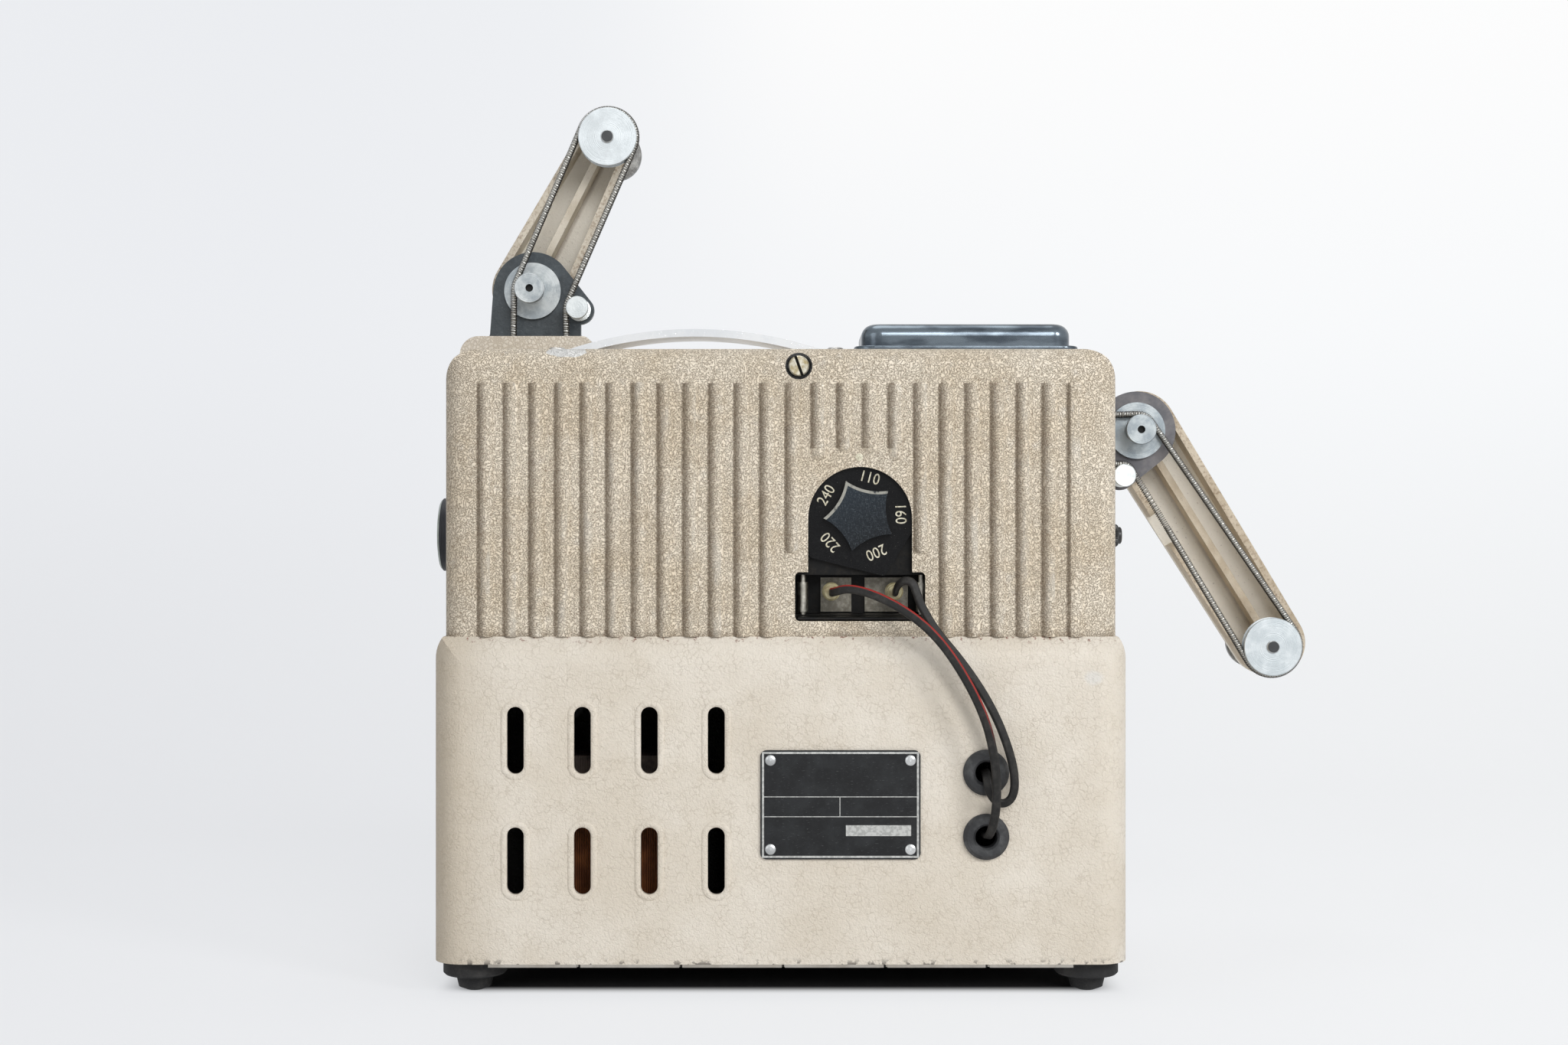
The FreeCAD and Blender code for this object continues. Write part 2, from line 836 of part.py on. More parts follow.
def build_front_casting():
    top, slope = s.case_height, 4.0
    side = [
        (-skirt_half, housing_low),
        (skirt_half, housing_low),
        (skirt_half, top),
        (s.hump_right + slope, top),
        (s.hump_right, hump_top),
        (-skirt_half, hump_top),
    ]
    rounds = {2: s.casting_corner, 4: s.hump_corner / 2, 5: s.hump_corner}
    block = prism("casting_block", "Y", side, seam, front, rounds, soft_high=s.casting_edge)
    inset = s.casting_wall
    lip = seam + s.casting_lip
    hollow = [
        (inset - skirt_half, housing_low + inset),
        (skirt_half - inset, housing_low + inset),
        (skirt_half - inset, top - inset),
        (s.hump_right, top - inset),
        (s.hump_right - slope, hump_top - inset),
        (inset - skirt_half, hump_top - inset),
    ]
    cavity = prism(
        "casting_cavity", "Y", hollow, lip, front_inner,
        {2: s.casting_corner - inset, 5: s.hump_corner - inset},
    )
    mouth = prism(
        "casting_mouth", "Y",
        rectangle(s.wall - half_width, housing_low + inset, half_width - s.wall, top - inset),
        seam - 1, lip + 1, {2: s.cover_corner - s.wall, 3: s.cover_corner - s.wall},
    )
    shell = cut("casting_shell", block, [cavity, mouth])
    body = joined("casting_body", [shell] + bearing_walls())
    bore = s.shaft_radius + s.running_gap
    slot = s.shutter_radius + 0.2
    tools = [
        rod("motor_way", "X", (-skirt_half + 5, s.motor_y, s.axis_z), bore, 2 * skirt_half - 15),
        rod("knob_way", "X", (skirt_half - 20, s.motor_y, s.axis_z), bore, 30),
        rod("shutter_way", "X", (s.pulley_x - 15, s.shutter_y, s.axis_z), bore, 15),
        rod("drive_way", "Y", (s.drive_x, s.boss_rear - 1, drive_z), bore, front - s.boss_rear + 2),
        rod("takeup_way", "Y", (s.drive_x, s.boss_rear - 1, takeup_z), bore, front - s.boss_rear + 2),
        rod("knob_bore", "Y", (s.knob_x, front_inner - 1, s.knob_z), bore, s.front_wall + 2),
        box(
            "shutter_slot",
            (s.shutter_x - 2.2, front_inner - 1, s.axis_z - slot),
            (s.shutter_x + 2.2, front + 1, s.axis_z + slot),
        ),
        box(
            "holder_slot",
            (s.gate_face - 22.5, front_inner - 1, s.axis_z - 2.9),
            (s.gate_face - 2.5, front + 1, s.axis_z + 2.9),
        ),
        box(
            "upper_belt_way",
            (s.drive_x - 15, s.upper_belt_y - 2.5, top - 6),
            (s.drive_x + 15, s.upper_belt_y + 2.5, hump_top + 1),
        ),
        box(
            "lower_belt_way",
            (skirt_half - inset - 1, s.lower_belt_y - 2.5, s.lower_idler_z + 1),
            (skirt_half + 1, s.lower_belt_y + 2.5, s.lower_pivot_z + 12),
        ),
        rod("screw_thread", "Y", (s.screw_x, rear, s.screw_z), s.screw_shank, 20),
    ]
    for x in bracket_screw_places("upper"):
        tools.append(rod("bracket_hole", "Z", (x, bracket_screw_y(), hump_top - 8), 1.5, 9))
    node("front_casting", cut("front_casting", body, tools))


def build_base():
    edge_x = skirt_half - s.base_inset
    edge_y = s.case_depth / 2 - s.base_margin
    sheet_form = box("base_sheet", (-edge_x, -edge_y, 0), (edge_x, edge_y, s.base_thick))
    notches = []
    for i in (-1, 1):
        for j in (-1, 1):
            at = (i * s.foot_x, j * s.foot_y, -1)
            notches.append(rod("foot_notch", "Z", at, s.foot_radius + 0.3, s.base_thick + 2))
    pitch = 40.1
    for k in range(-2, 3):
        x = k * pitch + 1
        notches.append(
            box("base_nick", (x - 0.6, -edge_y - 1, -1), (x + 0.6, 1.5 - edge_y, s.base_thick + 1))
        )
    node("base_plate", cut("base_plate", sheet_form, notches))
    profile = [
        (0, -s.foot_height),
        (s.foot_tip, -s.foot_height),
        (s.foot_dome - 1.2, -s.foot_height + 1.3),
        (s.foot_dome, -s.foot_step),
        (s.foot_radius - 0.8, -s.foot_step),
        (s.foot_radius, -s.foot_step + 0.8),
        (s.foot_radius, s.base_thick),
        (0, s.base_thick),
    ]
    feet = []
    for i in (-1, 1):
        for j in (-1, 1):
            feet.append(turned("rubber_foot", "Z", (i * s.foot_x, j * s.foot_y, 0), profile))
    node("rubber_feet", group("rubber_feet", feet))


def build_cover_screw():
    seat = rear + s.wall / 2
    head = turned(
        "screw_form", "Y", (s.screw_x, seat, s.screw_z),
        [(0, -1.6), (s.screw_head - 0.5, -1.6), (s.screw_head, -1.1), (s.screw_head, 0),
         (s.screw_shank, 0), (s.screw_shank, 17), (0, 17)],
    )
    slot = box("screw_slot", (-s.screw_head - 1, -2.6, -0.5), (s.screw_head + 1, -0.7, 0.5))
    blade = group("screw_blade", [slot])
    place(blade, (s.screw_x, seat, s.screw_z), Rotation(Vector(0, 1, 0), 70))
    node("cover_screw", cut("cover_screw", head, [blade]))


def build_rating_plate():
    left, right = s.plate_x - s.plate_width / 2, s.plate_x + s.plate_width / 2
    low, high = s.plate_z - s.plate_height / 2, s.plate_z + s.plate_height / 2
    face = housing_rear - s.plate_thick
    blank = prism(
        "plate_blank", "Y", rectangle(left, low, right, high), face, housing_rear,
        {k: s.plate_corner for k in range(4)},
    )
    holes = [rod("plate_hole", "Y", (x, face - 1, z), s.rivet_shank, 3) for x, z in rivet_places()]
    node("rating_plate", cut("rating_plate", blank, holes))
    profile = [
        (0, -1.0), (s.rivet_head * 0.55, -0.85), (s.rivet_head * 0.9, -0.45), (s.rivet_head, 0),
        (s.rivet_shank, 0), (s.rivet_shank, s.plate_thick + s.wall), (0, s.plate_thick + s.wall),
    ]
    rivets = [turned("plate_rivet", "Y", (x, face, z), profile) for x, z in rivet_places()]
    node("plate_rivets", group("plate_rivets", rivets))


def build_grommets():
    radius, neck, bore, thick = s.grommet_radius, s.grommet_neck, s.grommet_bore, s.grommet_thick
    profile = [
        (bore, 0.8 - thick), (bore + 0.8, -thick), (radius - 1.4, -thick), (radius, 1.2 - thick),
        (radius, 0),
        (neck, 0), (neck, s.wall), (radius - 1, s.wall), (radius - 1, s.wall + 1.5), (bore, s.wall + 1.5),
    ]
    rings = [
        turned("grommet", "Y", (s.grommet_x, housing_rear, z), profile)
        for z in (s.grommet_low_z, s.grommet_high_z)
    ]
    node("lead_grommets", group("lead_grommets", rings))


# Voltage selector
def pocket_spans():
    left = s.selector_x - s.bay_width / 2 + 0.2
    right = s.selector_x + s.bay_width / 2 + 1.6
    return left, right, s.bay_low + 2.4, s.bay_top - 1.1


def build_contact_block():
    left, right, low, high = pocket_spans()
    outer_left, outer_right = left - 7, right + 6
    outer_low, outer_high = s.bay_low - 5, dial_z + s.dial_radius
    back = block_rear + s.block_depth
    body = box("block_body", (outer_left, block_rear, outer_low), (outer_right, back, outer_high))
    lugs = []
    for x in (outer_left, outer_right - 5):
        for z in (outer_low, outer_high - 5):
            z_top = z + 5 if z is not outer_low else z + 4.6
            lugs.append(box("block_lug", (x, rear + s.wall, z), (x + 5, block_rear + 1, z_top)))
    lip = prism(
        "block_lip", "X",
        [
            (rear + 0.4, s.bay_low + 0.3), (block_rear + 1, s.bay_low + 0.3), (block_rear + 1, low),
            (rear + 0.4, low - 0.9)
        ],
        s.selector_x - s.bay_width / 2 + s.lip_gap, s.selector_x + s.bay_width / 2 - s.lip_gap,
        {0: 0.6, 3: 0.6},
    )
    tools = [
        box("block_pocket", (left, block_rear - 1, low), (right, pocket_floor, high)),
        rod("dial_bore", "Y", (s.selector_x, block_rear - 1, dial_z), s.shaft_radius + s.running_gap, 14),
    ]
    for x in (s.plug_left, s.plug_right):
        tools.append(rod("plug_bore", "Y", (x, pocket_floor - 1, s.plug_z), s.plug_tip + 0.1, 8))
    node("contact_block", cut("contact_block", joined("block_form", [body, lip] + lugs), tools))


def build_contacts():
    left, right, low, high = pocket_spans()
    face = pocket_floor - s.strip_thick
    spans = [
        (s.plug_left - 4.0, s.plug_left + 8.2, s.plug_left),
        (s.plug_right - 11.2, s.plug_right + 6, s.plug_right),
    ]
    strips = []
    for a, b, x in spans:
        blank = box("strip_blank", (a, face, low + 0.6), (b, pocket_floor, high - 1.4))
        strips.append(
            cut("strip", blank, [rod("strip_hole", "Y", (x, face - 1, s.plug_z), s.plug_tip, 4)])
        )
    node("contact_strips", group("contact_strips", strips))
    clips = []
    y = block_rear + s.clip_radius + 0.2
    for x in (left + s.clip_radius + 0.7, right - s.clip_radius - 0.5):
        profile = [
            (0, 0), (s.clip_pin, 0), (s.clip_pin, 1.0), (s.clip_radius, 1.0), (s.clip_radius, 12.6),
            (s.clip_pin, 12.6), (s.clip_pin, high - low), (0, high - low),
        ]
        clips.append(turned("clip", "Z", (x, y, low), profile))
    node("contact_clips", group("contact_clips", clips))


def build_plugs():
    face = pocket_floor - s.strip_thick
    reach = face - plug_mouth()
    profile = [
        (0, 0), (s.plug_radius - 0.9, 0), (s.plug_radius - 0.9, 3.4), (s.plug_radius - 0.4, 3.8),
        (s.plug_radius - 0.4, 7.0), (s.plug_radius, 7.4), (s.plug_radius, 10.0), (s.plug_tip + 0.8, 10.6),
        (s.plug_tip + 0.8, reach), (s.plug_tip, reach), (s.plug_tip, reach + 7.5), (0, reach + 7.5),
    ]
    plugs = [
        turned("plug", "Y", (x, plug_mouth(), s.plug_z), profile) for x in (s.plug_left, s.plug_right)
    ]
    node("lead_plugs", group("lead_plugs", plugs))


def plug_mouth():
    return rear + 0.5


def build_selector():
    corners = []
    for k in range(5):
        turn = s.dial_turn + 72 * k
        corners.append((s.selector_x + s.dial_radius * cosine(turn), dial_z + s.dial_radius * sine(turn)))
    near = rear + s.wall + 0.4
    dial = prism("dial_sheet", "Y", corners, near, near + s.dial_thick, {k: 1.5 for k in range(5)})
    hole = rod("dial_hole", "Y", (s.selector_x, near - 1, dial_z), s.shaft_radius, 4)
    node("voltage_dial", cut("voltage_dial", dial, [hole]))
    blank = rod(
        "star_blank", "Y", (s.selector_x, near - s.star_height, dial_z), s.star_radius, s.star_height
    )
    scoops = []
    for k in range(5):
        turn = 72 * k + s.star_turn
        away = s.star_waist + s.star_bow
        at = (s.selector_x + away * cosine(turn), near - s.star_height - 1, dial_z + away * sine(turn))
        scoops.append(rod("star_scoop", "Y", at, s.star_bow, s.star_height + 2))
    star = cut("star_form", blank, scoops)
    stem = rod("star_stem", "Y", (s.selector_x, near, dial_z), s.shaft_radius, 12)
    node("star_knob", joined("star_knob", [star, stem]))


# Handle and lid
def handle_pin_places():
    reach = s.handle_span / 2 - s.handle_stem - 1.8
    return [s.handle_x - reach, s.handle_x + reach]


def build_handle():
    half = s.handle_arch / 2
    bow = (half * half + s.handle_rise * s.handle_rise) / (2 * s.handle_rise)
    centre_z = s.case_height + s.handle_rise + 0.05 - bow
    near, far = s.handle_y - s.handle_width / 2, s.handle_y + s.handle_width / 2
    base = s.case_height + 0.05
    ring = cut(
        "strap_ring",
        rod("strap_outer", "Y", (s.handle_x, near, centre_z), bow + s.handle_thick / 2, s.handle_width),
        [
            rod(
                "strap_inner", "Y", (s.handle_x, near - 1, centre_z), bow - s.handle_thick / 2,
                s.handle_width + 2
            )
        ],
    )
    window = box(
        "strap_window", (s.handle_x - half - 6, near, base), (s.handle_x + half + 6, far, base + 30)
    )
    arch = shared("strap_arch", [ring, window])
    ends, holes = [], []
    for side, x in zip((-1, 1), handle_pin_places()):
        outer = s.handle_x + side * s.handle_span / 2
        inner = s.handle_x + side * (half - 3)
        low_x, high_x = (outer, inner) if side < 0 else (inner, outer)
        outline = rectangle(low_x, near, high_x, far)
        corners = {0: 5, 3: 5} if side < 0 else {1: 5, 2: 5}
        ends.append(prism("strap_end", "Z", outline, base, base + s.handle_tab, corners))
        holes.append(
            rod("strap_hole", "Z", (x, s.handle_y, base - 1), s.handle_stem + 0.3, s.handle_thick + 2)
        )
    node("carry_handle", cut("carry_handle", joined("strap", [arch] + ends), holes))
    profile = [
        (0, -s.wall - 0.4), (1.5, -s.wall - 0.4), (1.5, 0), (s.handle_stem, 0),
        (s.handle_stem, s.handle_thick - 0.2), (s.handle_head, s.handle_thick - 0.2),
        (s.handle_head, s.handle_thick + 0.3), (s.handle_head - 0.7, s.handle_thick + 0.8),
        (0, s.handle_thick + 0.8),
    ]
    pins = [
        turned("handle_pin", "Z", (x, s.handle_y, s.case_height), profile) for x in handle_pin_places()
    ]
    node("handle_pins", group("handle_pins", pins))


def lid_front():
    return seam - 5


def lid_rear():
    return lid_front() - s.lid_depth


def hinge_y():
    return lid_front() + s.hinge_set


def hinge_z():
    return s.case_height + s.lid_gap + s.hinge_radius


def hinge_places():
    return [s.lid_left + s.hinge_inset, s.lid_left + s.lid_width - s.hinge_inset]


def hinge_ears():
    """Small ears on the cover's top that carry the lid's pin, and the holes through them."""
    ears, holes = [], []
    low = s.case_height - s.hinge_radius
    reach = s.knuckle_width / 2 + s.ear_gap
    for x in hinge_places():
        for left in (x - reach - s.ear_width, x + reach):
            right = left + s.ear_width
            near, far = hinge_y() - s.hinge_radius, hinge_y() + s.hinge_radius
            ears.append(box("ear_foot", (left, near, low), (right, far, hinge_z())))
            ears.append(rod("ear_head", "X", (left, hinge_y(), hinge_z()), s.hinge_radius, s.ear_width))
            hole = s.hinge_pin + s.hinge_play
            holes.append(rod("ear_hole", "X", (left - 1, hinge_y(), hinge_z()), hole, s.ear_width + 2))
    return ears, holes


def build_lid():
    low = s.case_height + s.lid_gap
    right = s.lid_left + s.lid_width
    flange_outline = rectangle(s.lid_left, lid_rear(), right, lid_front())
    flange = prism(
        "lid_rim", "Z", flange_outline, low, low + s.lid_flange, {k: 8 for k in range(4)}, soft_high=0.8
    )
    inset = s.lid_inset
    cap_outline = rectangle(s.lid_left + inset, lid_rear() + inset, right - inset, lid_front() - inset)
    cap = prism(
        "lid_cap", "Z", cap_outline, low, low + s.lid_height, {k: 8 for k in range(4)}, soft_high=5.0
    )
    wall = inset + s.lid_wall
    hollow_outline = rectangle(s.lid_left + wall, lid_rear() + wall, right - wall, lid_front() - wall)
    hollow = prism("lid_hollow", "Z", hollow_outline, low - 1, low + s.lid_height - s.lid_wall,
                   {k: 6 for k in range(4)})
    barrels = []
    for x in hinge_places():
        left = x - s.knuckle_width / 2
        reach = s.ear_gap + s.ear_width
        barrels.append(
            box(
                "lid_tongue",
                (left, lid_front() - inset, low),
                (left + s.knuckle_width, hinge_y(), low + s.lid_flange),
            )
        )
        barrels.append(
            rod("lid_knuckle", "X", (left, hinge_y(), hinge_z()), s.hinge_radius, s.knuckle_width)
        )
        barrels.append(
            rod(
                "lid_pin", "X", (left - reach, hinge_y(), hinge_z()), s.hinge_pin,
                s.knuckle_width + 2 * reach
            )
        )
    shell = cut("lid_shell", joined("lid_form", [flange, cap]), [hollow])
    node("top_lid", joined("top_lid", [shell, *barrels]))


# Arms
def link(label, near, far, heel, toe, reach):
    """Two round ends and the flat flanks that touch both, a little off the line of the bearings."""
    off = -s.arm_shift
    slant = (heel - toe) / reach
    out = root(1 - slant * slant)
    outline = [
        (off - heel * out, heel * slant),
        (off + heel * out, heel * slant),
        (off + toe * out, reach + toe * slant),
        (off - toe * out, reach + toe * slant),
    ]
    return joined(
        label,
        [
            rod(f"{label}_heel", "Y", (off, near, 0), heel, far - near),
            rod(f"{label}_toe", "Y", (off, near, reach), toe, far - near),
            prism(f"{label}_flanks", "Y", outline, near, far),
        ],
    )


def wall_gap(heel):
    """A gap in an arm's side wall, down to the web, with its rim corners rounded off."""
    rim, web, soft = s.arm_rear, s.arm_back - s.arm_web, s.gap_round
    near, far = s.gap_near, s.gap_far
    outline = [
        (rim - 1, near - soft - 1), (rim, near - soft - 1), (rim, near), (web, near),
        (web, far), (rim, far), (rim, far + soft + 1), (rim - 1, far + soft + 1),
    ]
    return prism("arm_gap", "X", outline, heel / 2, heel + 5, {2: soft, 5: soft})


def build_arm(side, gapped):
    """A reel arm: a deep channel, open to the rear, with a rib and two bearing bosses."""
    lean, pivot_x, pivot_z, reach, heel, toe = (
        getattr(s, f"{side}_{name}") for name in ("lean", "pivot_x", "pivot_z", "reach", "heel", "toe")
    )
    web = s.arm_back - s.arm_web
    outer = link(f"{side}_arm_outer", s.arm_rear, s.arm_back, heel, toe, reach)
    inner = link(f"{side}_arm_inner", s.arm_rear - 1, web, heel - s.arm_wall, toe - s.arm_wall, reach)
    channel = cut(f"{side}_arm_channel", outer, [inner])
    left, right = -s.arm_shift - s.arm_rib_width / 2, -s.arm_shift + s.arm_rib_width / 2
    rib = box(f"{side}_arm_rib", (left, web - s.arm_rib_rise, 6), (right, web + 1, reach - 4))
    boss_rear = s.bracket_rear + s.bracket_thick + s.arm_gap
    heel_boss = rod(f"{side}_heel_boss", "Y", (0, boss_rear, 0), s.pivot_boss, front - boss_rear)
    toe_boss = rod(
        f"{side}_toe_boss", "Y", (0, s.bracket_rear, reach), s.toe_boss, front - s.bracket_rear
    )
    form = joined(f"{side}_arm_form", [channel, rib, heel_boss, toe_boss])
    start = s.bracket_rear - 1
    tools = [
        rod(f"{side}_pivot_bore", "Y", (0, start, 0), s.pivot_pin + s.running_gap, front - start + 1),
        rod(
            f"{side}_spindle_bore", "Y", (0, start, reach), s.spindle_shaft + s.running_gap,
            front - start + 1
        ),
    ]
    if gapped:
        tools.append(wall_gap(heel))
    arm = cut(f"{side}_arm", form, tools)
    node(f"{side}_arm", swing(arm, (pivot_x, 0, pivot_z), lean))


def bracket_screw_places(side):
    if side == "upper":
        return [s.upper_pivot_x - 10, s.upper_pivot_x + 12]
    return []


def bracket_screw_y():
    return s.bracket_rear + s.bracket_thick + 12


def hull_between(label, near, depth, a, b):
    """Two discs and the flat flanks that touch both; a and b are (x, z, radius)."""
    run_x, run_z = b[0] - a[0], b[1] - a[1]
    length = root(run_x * run_x + run_z * run_z)
    ux, uz = run_x / length, run_z / length
    slant = (a[2] - b[2]) / length
    out = root(1 - slant * slant)
    corners = []
    for x, z, radius, hand in ((*a, 1), (*b, 1), (*b, -1), (*a, -1)):
        nx = ux * slant - hand * uz * out
        nz = uz * slant + hand * ux * out
        corners.append((x + radius * nx, z + radius * nz))
    return [
        rod(f"{label}_big", "Y", (a[0], near, a[1]), a[2], depth),
        rod(f"{label}_small", "Y", (b[0], near, b[1]), b[2], depth),
        prism(f"{label}_flanks", "Y", corners, near, near + depth),
    ]


def build_brackets():
    """The fixed steel brackets that carry the arms, the pivot pulleys and the idlers."""
    near, depth = s.bracket_rear, s.bracket_thick
    foot_far = near + s.bracket_foot_depth
    stub = near - 11.8
    # Upper, standing on the hump
    pivot = (s.upper_pivot_x, s.upper_pivot_z, s.bracket_radius)
    ear = (s.upper_idler_x, s.upper_idler_z, s.bracket_ear)
    foot_left, foot_right = s.upper_pivot_x - 18.8, s.upper_idler_x + 0.4
    skirt = [
        (foot_left, hump_top), (foot_right, hump_top), (foot_right, s.upper_idler_z - 2),
        (s.upper_pivot_x, s.upper_pivot_z), (s.upper_pivot_x - s.bracket_radius, s.upper_pivot_z + 3),
    ]
    pieces = hull_between("upper_plate", near, depth, pivot, ear)
    pieces.append(prism("upper_skirt", "Y", skirt, near, near + depth))
    pieces.append(
        box("upper_foot", (foot_left, near, hump_top), (foot_right, foot_far, hump_top + s.bracket_foot))
    )
    pieces.append(rod("upper_stub", "Y", (s.upper_idler_x, stub, s.upper_idler_z), s.idler_pin, 13))
    tools = [
        rod("upper_pin_hole", "Y", (s.upper_pivot_x, near - 1, s.upper_pivot_z), s.pivot_pin, depth + 2)
    ]
    for x in bracket_screw_places("upper"):
        tools.append(
            rod("upper_foot_hole", "Z", (x, bracket_screw_y(), hump_top - 1), 1.5, s.bracket_foot + 2)
        )
    node("upper_arm_bracket", cut("upper_arm_bracket", joined("upper_bracket_form", pieces), tools))
    # Lower, on the casting's end wall
    pivot = (s.lower_pivot_x, s.lower_pivot_z, s.bracket_radius)
    ear = (s.lower_idler_x, s.lower_idler_z, s.bracket_ear)
    pieces = hull_between("lower_plate", near, depth, pivot, ear)
    neck = s.bracket_radius - 4
    low, high = s.lower_pivot_z - neck, s.lower_pivot_z + neck
    pieces.append(box("lower_neck", (skirt_half, near, low), (s.lower_pivot_x, near + depth, high)))
    pieces.append(
        box("lower_foot", (skirt_half, near, low), (skirt_half + s.bracket_foot, foot_far, high))
    )
    pieces.append(rod("lower_stub", "Y", (s.lower_idler_x, stub, s.lower_idler_z), s.idler_pin, 13))
    tools = [
        rod("lower_pin_hole", "Y", (s.lower_pivot_x, near - 1, s.lower_pivot_z), s.pivot_pin, depth + 2)
    ]
    node("lower_arm_bracket", cut("lower_arm_bracket", joined("lower_bracket_form", pieces), tools))


def build_pivots():
    tip_rear = s.pivot_face + 2
    pins = []
    for x, z in ((s.upper_pivot_x, s.upper_pivot_z), (s.lower_pivot_x, s.lower_pivot_z)):
        profile = [
            (0, tip_rear), (s.pivot_pin_tip, tip_rear), (s.pivot_pin_tip, s.bracket_rear),
            (s.pivot_pin, s.bracket_rear), (s.pivot_pin, front + 0.1), (s.pin_head, front + 0.1),
            (s.pin_head, front + 2.6), (s.pin_head - 1, front + 3.4), (0, front + 3.4),
        ]
        pins.append(turned("arm_pin", "Y", (x, 0, z), profile))
    node("arm_pivot_pins", group("arm_pivot_pins", pins))
    bore = s.pivot_pin_tip + s.running_gap
    hole = 1.66
    profile = [
        (hole, s.pivot_face), (s.pivot_barrel - 0.3, s.pivot_face), (s.pivot_barrel, s.pivot_face + 0.3),
        (s.pivot_barrel, s.pivot_face + 2), (s.pivot_groove, s.pivot_face + 2.6),
        (s.pivot_groove, pivot_end - 1.5), (s.pivot_flange, pivot_end - 1.5), (s.pivot_flange, pivot_end),
        (bore, pivot_end), (bore, tip_rear - 0.2), (hole, tip_rear - 0.2),
    ]
    idler_face = s.pivot_face + 0.5
    idler = [
        (0, idler_face), (s.idler_flange - 0.3, idler_face), (s.idler_flange, idler_face + 0.3),
        (s.idler_flange, idler_face + 1.2), (s.idler_barrel, idler_face + 1.6),
        (s.idler_barrel, pivot_end - 1.6), (s.idler_flange, pivot_end - 1.2), (s.idler_flange, pivot_end),
        (s.idler_pin + s.running_gap, pivot_end), (s.idler_pin + s.running_gap, idler_face + 1.5),
        (0, idler_face + 1.5),
    ]
    for side in ("upper", "lower"):
        pivot = (getattr(s, f"{side}_pivot_x"), 0, getattr(s, f"{side}_pivot_z"))
        roller = (getattr(s, f"{side}_idler_x"), 0, getattr(s, f"{side}_idler_z"))
        node(f"{side}_pivot_pulley", turned(f"{side}_pivot_pulley", "Y", pivot, profile))
        node(f"{side}_idler", turned(f"{side}_idler", "Y", roller, idler))


def spindle_place(side):
    lean, reach = getattr(s, f"{side}_lean"), getattr(s, f"{side}_reach")
    return (
        getattr(s, f"{side}_pivot_x") + reach * sine(lean),
        getattr(s, f"{side}_pivot_z") + reach * cosine(lean),
    )


def build_spindles():
    for side in ("upper", "lower"):
        x, z = spindle_place(side)
        line = getattr(s, f"{side}_belt_y")
        half = s.reel_pulley_thick / 2
        near, far = line - half, line + half
        groove = s.belt_radius + 0.4
        pulley = [
            (s.spindle_shaft, near), (s.reel_pulley - 0.3, near), (s.reel_pulley, near + 0.3),
            (s.reel_pulley, line - groove), (s.reel_groove, line - groove + 0.3),
            (s.reel_groove, line + groove - 0.3), (s.reel_pulley, line + groove),
            (s.reel_pulley, far - 0.3),
            (s.reel_pulley - 0.3, far), (s.spindle_shaft, far),
        ]
        node(f"{side}_reel_pulley", turned(f"{side}_reel_pulley", "Y", (x, 0, z), pulley))
        hub_far = hub_rear + s.hub_thick
        spindle = [
            (0, near - 0.9), (s.spindle_shaft - 0.4, near - 0.9), (s.spindle_shaft, near - 0.5),
            (s.spindle_shaft, hub_rear), (s.hub_radius, hub_rear), (s.hub_radius, hub_far - 1),
            (s.hub_radius - 1, hub_far), (s.spindle_nose, hub_far),
            (s.spindle_nose, hub_far + s.nose_length - 2),
            (s.spindle_nose - 1.5, hub_far + s.nose_length), (0, hub_far + s.nose_length),
        ]
        node(f"{side}_spindle", turned(f"{side}_spindle", "Y", (x, 0, z), spindle))


# Belts and leads
def belt_legs(wheels):
    """Where a belt leaves and meets each wheel; a wheel is (x, z, radius, way it goes round)."""
    legs = []
    for k, (x1, z1, r1, way1) in enumerate(wheels):
        x2, z2, r2, way2 = wheels[(k + 1) % len(wheels)]
        span = math.hypot(x2 - x1, z2 - z1)
        turn = math.atan2(z2 - z1, x2 - x1) + math.acos((r1 * way1 - r2 * way2) / span)
        nx, nz = math.cos(turn), math.sin(turn)
        legs.append(
            ((x1 + r1 * way1 * nx, z1 + r1 * way1 * nz), (x2 + r2 * way2 * nx, z2 + r2 * way2 * nz))
        )
    return legs


def belt_edges(wheels, y):
    """The belt's centre line as straight legs and the arcs round each wheel, in order."""
    legs = belt_legs(wheels)
    edges = []
    for k, (start, end) in enumerate(legs):
        edges.append(Part.LineSegment(Vector(start[0], y, start[1]), Vector(end[0], y, end[1])).toShape())
        x, z, radius, way = wheels[(k + 1) % len(wheels)]
        leave = legs[(k + 1) % len(wheels)][0]
        first = math.atan2(end[1] - z, end[0] - x)
        last = math.atan2(leave[1] - z, leave[0] - x)
        sweep = ((first - last) * way) % (2 * math.pi)
        middle = first - way * sweep / 2
        halfway = Vector(x + radius * math.cos(middle), y, z + radius * math.sin(middle))
        edges.append(
            Part.Arc(Vector(end[0], y, end[1]), halfway, Vector(leave[0], y, leave[1])).toShape()
        )
    return edges


def tube(edges, radius):
    """A round tube along edges that follow on smoothly."""
    path = Part.Wire(edges)
    start = edges[0].valueAt(edges[0].FirstParameter)
    heading = edges[0].tangentAt(edges[0].FirstParameter)
    ring = Part.Wire([Part.makeCircle(radius, start, heading)])
    return path.makePipeShell([ring], True, False)


def belt_wheels(side):
    line = belt_line.number
    x, z = spindle_place(side)
    return [
        (s.drive_x.number, drive_z.number, s.reel_groove.number + line, 1),
        (
            getattr(s, f"{side}_pivot_x").number, getattr(s, f"{side}_pivot_z").number,
            s.pivot_groove.number + line, 1
        ),
        (x.number, z.number, s.reel_groove.number + line, 1),
        (
            getattr(s, f"{side}_idler_x").number, getattr(s, f"{side}_idler_z").number,
            s.idler_barrel.number + line, -1
        ),
    ]


